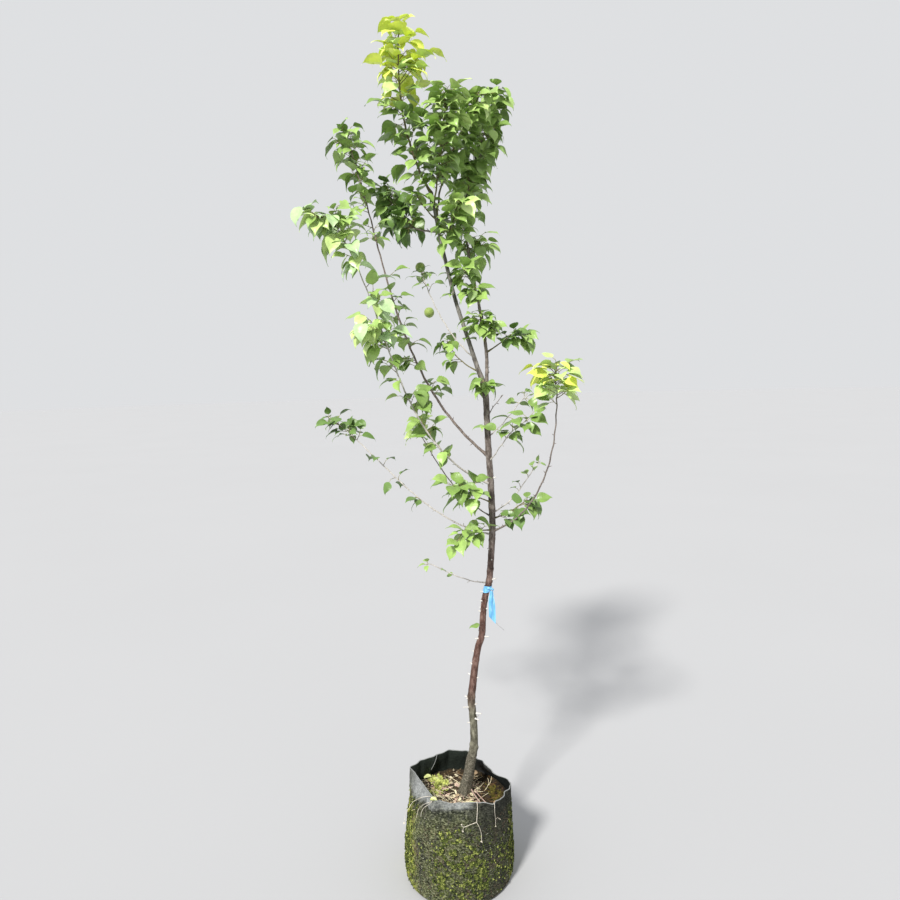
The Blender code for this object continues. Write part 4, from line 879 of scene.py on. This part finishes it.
def chip(chance, spot, size):
    """A splinter of bark: a flat block with uneven corners."""
    turn, tip = chance.uniform(0, 360), chance.uniform(-28, 28)
    ahead = compass(turn, tip)
    side, up = cross_frame(ahead)
    side = (Matrix.Rotation(math.radians(chance.uniform(-25, 25)), 3, ahead) @ side)
    up = side.cross(ahead)
    half = (size / 2, size * chance.uniform(0.14, 0.36), size * chance.uniform(0.05, 0.11))
    points = []
    for a in (-1, 1):
        for b in (-1, 1):
            for c in (-1, 1):
                jag = [chance.uniform(0.72, 1.12) for _ in range(3)]
                points.append(spot + ahead * half[0] * a * jag[0] + side * half[1] * b * jag[1]
                              + up * half[2] * c * jag[2])
    return points, [(0, 1, 3, 2), (4, 6, 7, 5), (0, 4, 5, 1), (2, 3, 7, 6), (0, 2, 6, 4), (1, 5, 7, 3)]


def litter_kind(x, y, chance):
    """What a chip is at a place: pale straw at the front with some dark crumbs; rust at the right; and at the right
    and the back, dark chips that are partly painted shadow of the trunk and the rim; in the hollow, dark chips as
    painted shade.
    """
    if in_hollow(x, y) > 0.4:
        return "dark"
    kinds = ["straw", "straw", "tan", "pink", "dark"]
    if x > 0.060:
        kinds = ["rust", "rust", "dark", "dark", "dark", "dark", "dark"]
    elif y > 0.074:
        kinds = ["tan", "rust", "straw", "dark", "dark", "dark", "dark"]
    elif -0.045 < x < 0.005 and 0.045 < y:
        kinds = ["pink", "pink", "straw", "tan", "dark"]
    elif y < 0.02:
        kinds = ["straw", "straw", "straw", "tan", "pink", "dark"]
    return chance.choice(kinds)


def soil_spot(chance, share):
    """A random place on the soil within a share of the way to the felt."""
    angle = chance.uniform(0, 360)
    spot = compass(angle) * (soil_edge(angle) * share * math.sqrt(chance.random()))
    spot.z = soil_height(spot.x, spot.y)
    return spot


def make_litter():
    """Bark chips, straws, fallen leaves and moss on the soil."""
    chance = random.Random(SEED + 3)
    tints = {"straw": ((0.50, 0.41, 0.24), (0.98, 0.92, 0.68)), "tan": ((0.20, 0.14, 0.08), (0.60, 0.46, 0.29)),
             "pink": ((0.34, 0.20, 0.15), (0.80, 0.60, 0.52)), "rust": ((0.055, 0.028, 0.012), (0.26, 0.15, 0.06)),
             "dark": ((0.008, 0.006, 0.004), (0.060, 0.040, 0.026))}
    heaps = {name: Heap() for name in tints}
    foot = Vector((TRUNK_STATIONS[0][1], TRUNK_STATIONS[0][2], SOIL_LEVEL))
    for _ in range(CHIP_COUNT):
        spot = soil_spot(chance, 0.97)
        if (spot - foot).length < 0.024:
            continue
        size = chance.choice((0.003, 0.004, 0.006, 0.008, 0.013)) * chance.uniform(0.8, 1.3)
        spot.z += size * 0.06
        heaps[litter_kind(spot.x, spot.y, chance)].add(*chip(chance, spot, size))
    for east, north, tip_east, tip_north, rise, radius in STRAWS:
        base = Vector((east, north, soil_height(east, north) + 0.002))
        tip = Vector((tip_east, tip_north, soil_height(tip_east, tip_north) + rise))
        heaps["pink" if radius > 0.0015 else "straw"].add(*sliver(base, tip, radius, 7, 0.002, 6))
    for _ in range(STRAW_COUNT):
        spot = soil_spot(chance, 0.92)
        tip = spot + compass(chance.uniform(0, 360), chance.uniform(-2, 18)) * chance.uniform(0.008, 0.036)
        kind = litter_kind(spot.x, spot.y, chance)
        if kind == "dark" or math.hypot(tip.x, tip.y) > SOIL_RADIUS or in_hollow(tip.x, tip.y) > 0.4:
            continue
        heaps[kind].add(
            *sliver(spot + Vector((0, 0, 0.003)), tip, chance.uniform(0.0003, 0.0009), 4,
                    chance.uniform(-0.004, 0.004), 5))
    for name, (dark, light) in tints.items():
        heaps[name].build("chips_" + name, speckled("chips_" + name, dark, light, 260, 0.9),
                          "potting_mix", (), 30)

    fallen, green = Heap(), Heap()
    for k in range(LITTER_LEAVES):
        spot = soil_spot(chance, 0.85)
        if (spot - foot).length < 0.03 or in_hollow(spot.x, spot.y) > 0.2:
            continue
        spot.z += 0.003
        ahead = compass(chance.uniform(0, 360), chance.uniform(-6, 12))
        normal = (Vector((0, 0, 1)) + compass(chance.uniform(0, 360)) * 0.4).normalized()
        fallen.add(place_leaf(LEAVES[k % LEAF_KINDS], spot, ahead, normal, chance.uniform(0.014, 0.026)),
                   LEAF_FACES)
    fallen.build("fallen_leaves", speckled("fallen_leaf", (0.20, 0.12, 0.06), (0.56, 0.42, 0.27), 120,
                                           0.85), "potting_mix")
    for east, north, lift, turn, size in SOIL_LEAVES:
        spot = Vector((east, north, SOIL_LEVEL + lift))
        green.add(place_leaf(LEAVES[1], spot, compass(turn, 12), Vector((0, 0, 1)), size), LEAF_FACES)
    green.build("soil_leaves", speckled("soil_leaf", (0.42, 0.48, 0.14), (0.74, 0.78, 0.38), 120, 0.7), "foliage")
    moss = {"grass": Heap(), "olive": Heap()}
    for kind, east, north, spread, low, high, count in SOIL_MOSS:
        for _ in range(count):
            spot = Vector((east + chance.gauss(0, spread), north + chance.gauss(0, spread), 0))
            if spot.length < SOIL_RADIUS:
                spot.z = soil_height(spot.x, spot.y)
                moss[kind].add(*tuft(chance, spot, Vector((0, 0, 1)), chance.uniform(low, high)))
    for kind, dark, light in (("grass", (0.16, 0.19, 0.03), (0.74, 0.80, 0.24)),
                              ("olive", (0.016, 0.013, 0.003), (0.20, 0.17, 0.030))):
        moss[kind].build("soil_" + kind, speckled("soil_" + kind, dark, light, 90, 0.8), "foliage")


def make_weeds():
    heap = Heap()
    for radius, rows in WEEDS:
        route = curve_through([wall_spot(a, min(h, BAG_HEIGHT), off) + Vector((0, 0, max(0.0, h - BAG_HEIGHT)))
                               for a, h, off in rows], 6)
        count = len(route)
        knots = [1 + 0.35 * bell((k % 6) / 6 - 0.5, 0.16) for k in range(count)]
        heap.add(*tube(route, [radius * knots[k] * (1 - 0.35 * k / count) for k in range(count)], 6))
    chance = random.Random(SEED + 5)
    for angle, height, off, size in WEED_HEADS:
        spot = wall_spot(angle, height, off)
        heap.add(*tuft(chance, spot, DOWN, size * 1.6))
    heap.build("dry_weeds", speckled("dry_weed", (0.46, 0.40, 0.31), (0.86, 0.81, 0.71), 400, 0.8),
               "potting_mix")


# Trunk

def trunk_at(height):
    """Centre and radius of the trunk at a height, on a smooth curve through its stations."""
    rows = TRUNK_STATIONS
    k = 0
    while k < len(rows) - 2 and height > rows[k + 1][0]:
        k += 1
    share = (height - rows[k][0]) / (rows[k + 1][0] - rows[k][0])
    values = []
    for c in (1, 2, 3):
        before, after = rows[max(k - 1, 0)], rows[min(k + 2, len(rows) - 1)]
        step = rows[k + 1][0] - rows[k][0]
        slope_a = (rows[k + 1][c] - before[c]) / (rows[k + 1][0] - before[0]) * step
        slope_b = (after[c] - rows[k][c]) / (after[0] - rows[k][0]) * step
        s2, s3 = share * share, share ** 3
        values.append((2 * s3 - 3 * s2 + 1) * rows[k][c] + (s3 - 2 * s2 + share) * slope_a
                      + (3 * s2 - 2 * s3) * rows[k + 1][c] + (s3 - s2) * slope_b)
    return Vector((values[0], values[1], height)), values[2] / 2


def make_trunk():
    heap = Heap()
    bottom, top = TRUNK_STATIONS[0][0], TRUNK_STATIONS[-1][0]
    count = math.ceil((top - bottom) / TRUNK_STEP)
    heights = [lerp((bottom, top), k / count) for k in range(count + 1)]
    centres, radii = zip(*(trunk_at(h) for h in heights))

    def relief(ring, angle, spot):
        height, radius = heights[ring], radii[ring]
        fade = max(0.0, 1 - (height - 0.2) / ROOT_LOBE_HEIGHT)
        move = radius * ROOT_LOBE_DEPTH * fade * math.cos(ROOT_LOBES * angle + 0.6)
        rough = 0.55 + 0.9 * (1 - smooth(0.30, 0.60, height))
        move += noise.fractal(Vector((spot.x * 130, spot.y * 130, height * 90)), 0.8, 2.0, 4) * 0.0007 * rough
        marks = noise.noise(Vector((spot.x * 150, spot.y * 150, height * 520)))
        move += max(0.0, marks - 0.25) * 0.0013
        for ring_height, rise in COLLARS:
            tilt = 0.0035 * math.cos(angle + ring_height * 60)
            move += rise * bell(height - ring_height - tilt, 0.0042)
        return move

    heap.add(*tube(list(centres), [radius * TRUNK_SLIM for radius in radii], TRUNK_SIDES, relief))
    heap.build("trunk_bark", trunk_finish(), "bark", ("trunk",), 75)

    stubs, caps = Heap(), Heap()
    chance = random.Random(SEED + 1)
    rows = list(STUBS)
    for k in range(BACK_STUBS):
        rows.append((lerp((0.38, 1.22), (k + 0.5) / BACK_STUBS), 20 + (k * GOLDEN_ANGLE) % 145,
                     chance.uniform(0.004, 0.009)))
    for height, angle, length in rows:
        centre, radius = trunk_at(height)
        out = compass(angle, chance.uniform(2, 30))
        base, tip = centre + out * radius * 0.7, centre + out * (radius + length)
        bend = chance.uniform(-0.001, 0.001)
        centres = [base, base.lerp(tip, 0.35), base.lerp(tip, 0.7) + Vector((0, 0, bend)), tip]
        stubs.add(*tube(centres, [STUB_RADIUS * f for f in (1.7, 1.15, 1.0, 0.85)], 8))
        caps.add(*tube([tip - out * 0.0004, tip + out * 0.0005], [STUB_RADIUS * 0.7, STUB_RADIUS * 0.55], 8))
    stubs.build("trunk_spurs", speckled("spur_bark", (0.42, 0.40, 0.37), (0.88, 0.86, 0.82), 420, 0.8),
                "bark")
    caps.build("spur_cuts", speckled("cut_wood", (0.45, 0.38, 0.28), (0.78, 0.72, 0.60), 500, 0.8), "bark")


def make_tape():
    heap = Heap()
    steps = 40
    for turn_rise, extra, band in ((0.0016, 0.0007, TAPE_BAND), (-0.0022, 0.0014, TAPE_BAND * 0.8)):
        points, faces = [], []
        for k in range(steps):
            a = 360 * k / steps
            tilt = turn_rise * math.cos(math.radians(a - 40))
            crumple = 0.0005 * noise.noise(compass(a) * 4)
            for s in range(6):
                height = TAPE_HEIGHT + tilt + band * (s / 5 - 0.5)
                centre, radius = trunk_at(height)
                bulge = 0.0006 * math.sin(s / 5 * math.pi * 3 + k * 0.7)
                points.append(centre + compass(a) * (radius + 0.0006 + extra + crumple + bulge * 0.5))
        for k in range(steps):
            for s in range(5):
                a, b = k * 6 + s, ((k + 1) % steps) * 6 + s
                faces.append((a, b, b + 1, a + 1))
        heap.add(points, faces)
    centre, radius = trunk_at(TAPE_HEIGHT)
    out, across = compass(TAPE_SIDE), compass(TAPE_FACE + 90)
    start = centre + out * (radius + 0.0016)
    for side, size in ((-1.2, 0.0040), (0.6, 0.0034), (-0.2, 0.0042)):
        middle = start + out * 0.0012 + across * side * 0.0042 + Vector((0, 0, 0.001 - side * 0.002))
        line = [middle + across * reach + Vector((0, 0, lift)) for reach, lift in
                ((-0.0065, 0.0015), (-0.003, 0.0005), (0.0, 0.0), (0.003, -0.001), (0.0055, -0.003))]
        heap.add(*tube(line, [size * f for f in (0.45, 0.85, 1.0, 0.8, 0.4)], 9,
                       lambda ring, angle, spot: 0.0008 * math.sin(angle * 3 + spot.x * 900)))
    rows, columns = 26, 9
    points = []
    for r in range(rows + 1):
        share = r / rows
        wide = lerp(TAPE_HALVES, smooth(0.0, 0.5, share))
        middle = start + out * 0.0035 + across * 0.0006
        for c in range(columns):
            u = c / (columns - 1) * 2 - 1
            fold = 0.0022 * math.cos(u * 3.6 + share * 2.5) * (1 - 0.5 * share)
            spot = middle + across * wide * u + compass(TAPE_FACE) * fold
            spot.z -= 0.004 + TAPE_TAIL * share * lerp((TAPE_SLANT, 1.0), (u + 1) / 2)
            points.append(spot)
    faces = [(r * columns + c, r * columns + c + 1, (r + 1) * columns + c + 1, (r + 1) * columns + c)
             for r in range(rows) for c in range(columns - 1)]
    heap.add(points, faces)
    finish = Finish("marker_tape", 0.30, 0.6)
    crease = finish.noise(180, 4.0, (1.0, 1.0, 0.3))
    # The ramp's palest tone stands for painted highlights on the crumpled tape.
    finish.colour(finish.ramp(crease, ((0.30, (0.10, 0.35, 0.64)), (0.58, (0.20, 0.54, 0.86)),
                                       (0.80, (0.50, 0.78, 0.96)))))
    finish.bump(crease, 0.0008, 0.7)
    heap.build("marker_tape_ribbon", finish.material, "tape", ("marker_tape",), 60)

    thread = Heap()
    tip = points[rows * columns + columns - 1]
    route = curve_through([tip + Vector((0.001, 0, 0.004)), tip + Vector((0.006, -0.001, -0.003)),
                           tip + Vector((0.013, -0.002, -0.009)), tip + Vector((0.022, -0.001, -0.018))], 5)
    thread.add(*tube(route, [0.0006] * len(route), 5))
    thread.build("tape_thread", speckled("thread", (0.20, 0.20, 0.20), (0.45, 0.45, 0.44), 500, 0.8), "tape")


# Leaves

def outline_width(share):
    """Half width of the blade along its length, on a smooth line through the outline's points."""
    for (a, wa), (b, wb) in zip(LEAF_OUTLINE, LEAF_OUTLINE[1:]):
        if share <= b:
            return lerp((wa, wb), (share - a) / (b - a))
    return 0.0


def leaf_template(kind):
    """Points of a blade of length 1: along, across, up.

    The midrib arches over to a hooked drip tip, and the halves are folded, waved and finely toothed.
    """
    chance = random.Random(SEED + 50 + kind)
    arch, hook = chance.uniform(0.35, 1.25), chance.uniform(0.25, 0.95)
    fold, cup = chance.uniform(0.25, 0.62), chance.uniform(0.2, 1.1)
    wave, phase = chance.uniform(0.006, 0.026), chance.uniform(0, 6)
    sweep = chance.uniform(-0.5, 0.5)
    points, x, z, drift = [], 0.0, 0.0, 0.0
    for r in range(LEAF_ROWS + 1):
        t = r / LEAF_ROWS
        wide = outline_width(t) * LEAF_WIDTH / 2
        tooth = 1 + (0.05 if r % 2 else -0.03) * min(1.0, 6 * t) * (t < 0.9)
        slope = arch * (0.28 - t ** 1.2) - hook * smooth(0.70, 1.0, t)
        for c in (-1.0, -0.55, 0.0, 0.55, 1.0):
            y = c * wide * (tooth if abs(c) == 1 else 1)
            up = abs(y) * fold * (1 - 0.4 * t) - cup * y * y
            up += wave * math.sin(t * 11 + phase + (c > 0) * 1.7) * abs(c) * min(1, t * 4)
            up += 0.008 * math.cos(t * 40) * (abs(c) == 0.55) * (t < 0.85)
            points.append((x - up * math.sin(slope), y + drift, z + up * math.cos(slope)))
        x += math.cos(slope) / LEAF_ROWS
        z += math.sin(slope) / LEAF_ROWS
        drift += sweep * max(0.0, t - 0.6) / LEAF_ROWS
    return np.array(points)


LEAF_FACES = [(r * 5 + c, r * 5 + c + 1, (r + 1) * 5 + c + 1, (r + 1) * 5 + c)
              for r in range(LEAF_ROWS) for c in range(4)]
LEAVES = [leaf_template(k) for k in range(LEAF_KINDS)]


def place_leaf(template, base, ahead, normal, length):
    """A blade's points where it grows: normal is square to ahead when it arrives."""
    normal = (normal - ahead * normal.dot(ahead)).normalized()
    across = normal.cross(ahead)
    axes = np.array([tuple(ahead), tuple(across), tuple(normal)])
    return np.array(tuple(base)) + template @ axes * length


def outward(ahead, angle, lean):
    """A direction at an angle round a line and leaning away from it."""
    side, up = cross_frame(ahead)
    a, b = math.radians(angle), math.radians(lean)
    return (ahead * math.cos(b) + (side * math.cos(a) + up * math.sin(a)) * math.sin(b)).normalized()


def facing(ahead, angle):
    """The turn round a line that faces a compass angle."""
    side, up = cross_frame(ahead)
    aim = compass(angle)
    return math.degrees(math.atan2(up.dot(aim), side.dot(aim)))


# Limbs

def limb_rise(limb, share):
    """Rise at a share of the length, on the curve through the rise at foot, middle and tip."""
    foot, middle, tip = limb.rise
    return ((1 - share) * (1 - 2 * share) * foot + 4 * share * (1 - share) * middle
            + share * (2 * share - 1) * tip)


def limb_path(limb, paths):
    """Centre points of a limb, from its foot on the parent's axis to its tip."""
    if limb.parent == "trunk":
        foot = trunk_at(limb.height)[0]
    else:
        foot = min(paths[limb.parent], key=lambda p: abs(p.z - limb.height)).copy()
    path = [foot]
    for k in range(LIMB_STEPS):
        share = (k + 0.5) / LIMB_STEPS
        ahead = compass(lerp(limb.compass, share), limb_rise(limb, share))
        path.append(path[-1] + ahead * (limb.length / LIMB_STEPS))
    return path


def along(path, share):
    spot = min(max(share, 0.0), 1.0) * (len(path) - 1)
    k = min(int(spot), len(path) - 2)
    return path[k].lerp(path[k + 1], spot - k), (path[k + 1] - path[k]).normalized()


def limb_radius(limb, share):
    return lerp(limb.diameters, share ** 0.8) / 2 * LIMB_SLIM


def limb_wood(limb, path, heap, chance):
    """The whole limb as one tapering tube with nodes, a swollen foot and thorn-like spurs."""
    count = max(6, math.ceil(limb.length / LIMB_RING_STEP))
    shares = [k / count for k in range(count + 1)]
    parent = trunk_at(limb.height)[1] if limb.parent == "trunk" else 0.005
    node_step = 0.024 / limb.length
    centres, radii = [], []
    for share in shares:
        spot, ahead = along(path, share)
        side, up = cross_frame(ahead)
        sway = 0.0011 * smooth(0.0, 0.08, share)
        zig = math.sin(share / node_step * math.pi)
        centres.append(spot + side * sway * zig + up * sway * noise.noise(spot * 40))
        reach = share * limb.length
        swell = 0.55 * math.exp(-max(0.0, reach - parent) / 0.009)
        node = 0.13 * bell((share / node_step) % 1 - 0.5, 0.16)
        radii.append(limb_radius(limb, share) * (1 + swell + node))

    def relief(ring, angle, spot):
        return noise.noise(Vector((spot.x * 300, spot.y * 300, spot.z * 120))) * 0.00028

    heap.add(*tube(centres, radii, LIMB_SIDES, relief))
    thorns = int(limb.bare * limb.length / THORN_STEP)
    for k in range(thorns):
        share = limb.bare * (k + chance.uniform(0.3, 0.7)) / thorns
        if share * limb.length < parent + 0.012:
            continue
        spot, ahead = along(path, share)
        out = outward(ahead, k * GOLDEN_ANGLE, chance.uniform(45, 80))
        reach = limb_radius(limb, share) + chance.uniform(*THORN_LENGTHS)
        heap.add(*sliver(spot, spot + out * reach, 0.0012, 6, 0.0, 2))


class Leafage:
    """Deals out spurs, stalks and blades, and keeps the blades apart."""

    def __init__(self):
        self.blades = {letter: Heap() for letter in COLOURS}
        self.twigs, self.stalks = Heap(), Heap()
        self.cells = {}
        self.count = 0

    def free(self, spot):
        """Whether no blade's centre is within LEAF_ROOM of a spot, which is then taken."""
        key = tuple(int(c // LEAF_ROOM) for c in spot)
        for x in (-1, 0, 1):
            for y in (-1, 0, 1):
                for z in (-1, 0, 1):
                    for other in self.cells.get((key[0] + x, key[1] + y, key[2] + z), ()):
                        if (other - spot).length < LEAF_ROOM:
                            return False
        self.cells.setdefault(key, []).append(spot)
        return True

    def leaf(self, foot, away, droop, roll, size, tint, chance):
        """A stalk that leaves the spur and a blade that hangs from its end."""
        stalk = chance.uniform(*STALK_LENGTHS) * min(1.0, size / 0.045)
        rise = (away + Vector((0, 0, 0.25))).normalized()
        neck = foot + rise * stalk * 0.55 + away * stalk * 0.45
        ahead = (away * (1 - droop) + DOWN * droop).normalized()
        up = Vector((0, 0, 1)) + away * 0.25 + BRIGHT_SIDE * 0.45
        normal = (up - ahead * up.dot(ahead)).normalized()
        normal = Matrix.Rotation(math.radians(roll), 3, ahead) @ normal
        blade = place_leaf(LEAVES[chance.randrange(LEAF_KINDS)], neck, ahead, normal, size)
        low, high = blade.min(0), blade.max(0)
        if any(low[c] < cad_box[0][c] - BOX_SLACK or high[c] > cad_box[1][c] + BOX_SLACK for c in range(3)):
            return False
        if not self.free(neck + ahead * size * 0.45):
            return False
        self.blades[tint].add(blade, LEAF_FACES)
        self.stalks.add(*tube([foot, foot.lerp(neck, 0.5) + Vector((0, 0, stalk * 0.06)), neck,
                               neck + ahead * size * 0.05],
                              [STALK_RADIUS * f for f in (1.5, 1.0, 0.9, 0.6)], 4))
        self.count += 1
        return True

    def spur(self, limb, path, share, turn, length, leaves, tints, chance):
        base, stem_ahead = along(path, share)
        ahead = outward(stem_ahead, turn, chance.uniform(*SPUR_LEAN))
        ahead = (ahead + Vector((0, 0, 0.18))).normalized()
        radius = limb_radius(limb, share)
        length = radius + length * chance.uniform(*SPUR_LENGTHS)
        tip = base + ahead * length
        bend = chance.uniform(-0.08, 0.08) * length
        self.twigs.add(*sliver(base, tip, SPUR_RADIUS, 6, bend, 4))
        tint = chance.choice(tints)
        for k in range(leaves):
            height = 1.0 if k == 0 else 1.0 - 0.7 * k / leaves
            foot = base.lerp(tip, max(height, radius / length))
            for _ in range(LEAF_TRIES):
                spread = chance.uniform(*LEAF_SPREAD) if k else chance.uniform(10, 45)
                away = outward(ahead, turn + k * GOLDEN_ANGLE + chance.uniform(-60, 60), spread)
                size = chance.uniform(*LEAF_LENGTHS) * limb.leaf
                away.z = min(away.z, LEAF_RISE) - 0.1 * limb.hang
                away.normalize()
                droop = limb.hang * chance.uniform(*LEAF_DROOP)
                if self.leaf(foot, away, droop, chance.uniform(-38, 38), size,
                             tint if chance.random() < 0.75 else chance.choice(tints), chance):
                    break

    def mass(self, limb, path):
        chance = random.Random(SEED * 100 + LIMBS.index(limb))
        turn = chance.uniform(0, 360)
        middle = (limb.zones[0][0] + 1.0) / 2
        for first, last, spurs, length, leaves, *side in limb.zones:
            count = round(spurs * MORE_SPURS.get(limb.name, 1.0))
            for k in range(count):
                share = lerp((first, last), (k + chance.uniform(0.1, 0.9)) / count)
                turn += GOLDEN_ANGLE
                if side:
                    turn = facing(along(path, share)[1], side[0]) + chance.uniform(-SIDE_SPREAD, SIDE_SPREAD)
                self.spur(limb, path, share, turn, length, leaves, limb.tints[share > middle], chance)
        tip, ahead = along(path, 1.0)
        for k in range(3):
            away = outward(ahead, turn + k * 120, 60)
            self.leaf(tip, away, 0.1 + limb.hang * 0.4, 0, LEAF_LENGTHS[0] * limb.leaf, limb.tints[1][0], chance)


def trunk_sprays(leafage):
    chance = random.Random(SEED + 7)
    for height, angle, leaves, size in TRUNK_SPRAYS:
        centre, radius = trunk_at(height)
        for k in range(leaves):
            away = compass(angle + 55 * k, 12)
            leafage.leaf(centre + away * radius * 0.2, away, 0.3, 0, size, "mf"[k], chance)


def make_fruit(path):
    heap = Heap()
    rings, steps = 20, 28
    radius = FRUIT_DIAMETER / 2
    for share, side, rise, reach in FRUIT_PLACES:
        centre = along(path, share)[0] + compass(side, rise) * reach
        points = []
        for r in range(rings + 1):
            polar = math.pi * r / rings
            for s in range(steps):
                a = 2 * math.pi * s / steps
                groove = 0.06 * bell((math.degrees(a) + 180) % 360 - 180, 16) * math.sin(polar)
                dimple = 0.12 * bell(math.degrees(polar), 14) - 0.05 * bell(math.degrees(polar) - 180, 10)
                point = Vector((math.sin(polar) * math.cos(a), math.sin(polar) * math.sin(a), math.cos(polar)))
                points.append(centre + point * radius * (1 - groove - dimple))
        heap.add(points, [tuple(reversed(f)) for f in grid_faces(rings + 1, steps)])
    finish = Finish("green_fruit", 0.55, 0.35, 0.3)
    cloud = finish.noise(70, 3.0)
    finish.colour(finish.ramp(cloud, ((0.30, (0.17, 0.27, 0.05)), (0.70, (0.34, 0.43, 0.11)))))
    finish.bump(finish.noise(900, 2.0), 0.0002, 0.6)
    heap.build("green_fruit", finish.material, "foliage", (), 80)


def make_tree():
    make_trunk()
    paths = {}
    for limb in LIMBS:
        paths[limb.name] = limb_path(limb, paths)
    wood = {kind: Heap() for kind in ("dark", "grey", "pale", "green")}
    nodes = {kind: [] for kind in wood}
    leafage = Leafage()
    for limb in LIMBS:
        chance = random.Random(SEED * 200 + LIMBS.index(limb))
        limb_wood(limb, paths[limb.name], wood[limb.bark], chance)
        if limb.bare:
            single = limb.name in ("right_stem", "bare_twig")
            nodes[limb.bark].append(limb.name if single else limb.name + "_bough")
        if limb.zones:
            leafage.mass(limb, paths[limb.name])
    trunk_sprays(leafage)
    for kind, heap in wood.items():
        heap.build("limbs_" + kind, bark_finish(kind), "bark" if kind == "grey" else "twig_bark",
                   nodes[kind], 70)
    masses = [limb.name + "_leaves" for limb in LIMBS if limb.zones]
    leafage.twigs.build("leaf_spurs", bark_finish("green").copy(), "twig_bark", masses, 70)
    leafage.stalks.build("leaf_stalks", speckled("leaf_stalk", (0.20, 0.16, 0.05), (0.42, 0.40, 0.13), 300,
                                                 0.5), "foliage")
    for letter, heap in leafage.blades.items():
        if heap.count:
            heap.build("leaves_" + COLOURS[letter][0], leaf_finish(letter), "foliage", (), 100)
    make_fruit(paths["fruiting"])
    print("leaves", leafage.count)


# Floor, light and camera

def make_stage():
    mesh = bpy.data.meshes.new("floor")
    steps = 96
    mesh.from_pydata([compass(360 * k / steps) * 60 + Vector((0, 0, -0.0006)) for k in range(steps)], [],
                     [tuple(range(steps))])
    finish = Finish("pale_floor", 0.9, 0.1)
    finish.colour(finish.ramp(finish.noise(0.6, 2.0), ((0.2, (0.428, 0.433, 0.446)), (0.8, (0.438, 0.443, 0.456)))))
    mesh.materials.append(finish.material)
    floor = bpy.data.objects.new("floor", mesh)
    bpy.context.scene.collection.objects.link(floor)


def make_light():
    """A soft sun from the upper left front, in an evenly bright studio."""
    data = bpy.data.lights.new("sun", "SUN")
    data.energy, data.angle, data.color = 4.3, math.radians(9), (1.0, 0.975, 0.93)
    sun = bpy.data.objects.new("sun", data)
    sun.rotation_euler = Vector((0.40, 0.78, -0.88)).to_track_quat("-Z", "Y").to_euler()
    bpy.context.scene.collection.objects.link(sun)
    world = bpy.data.worlds.new("studio")
    world.use_nodes = True
    sky = world.node_tree.nodes["Background"]
    sky.inputs["Color"].default_value = (0.735, 0.745, 0.76, 1.0)
    sky.inputs["Strength"].default_value = 1.0
    bpy.context.scene.world = world


def make_camera():
    pitch, roll = math.radians(CAMERA_PITCH), math.radians(CAMERA_ROLL)
    ahead = Vector((0, math.cos(pitch), -math.sin(pitch)))
    right = Vector((1, 0, 0))
    up = right.cross(ahead)
    side = right * math.cos(roll) + up * math.sin(roll)
    high = up * math.cos(roll) - right * math.sin(roll)
    data = bpy.data.cameras.new("camera")
    data.sensor_width, data.lens, data.clip_start = 36.0, CAMERA_LENS, 0.02
    camera = bpy.data.objects.new("camera", data)
    camera.matrix_world = Matrix((
        (side.x, high.x, -ahead.x, CAMERA_PLACE.x), (side.y, high.y, -ahead.y, CAMERA_PLACE.y),
        (side.z, high.z, -ahead.z, CAMERA_PLACE.z), (0, 0, 0, 1)))
    bpy.context.scene.collection.objects.link(camera)
    bpy.context.scene.camera = camera


make_camera()
make_bag()
make_moss()
make_soil()
make_litter()
make_weeds()
make_tape()
make_tree()
make_stage()
make_light()
bpy.context.scene.view_settings.view_transform = "Standard"
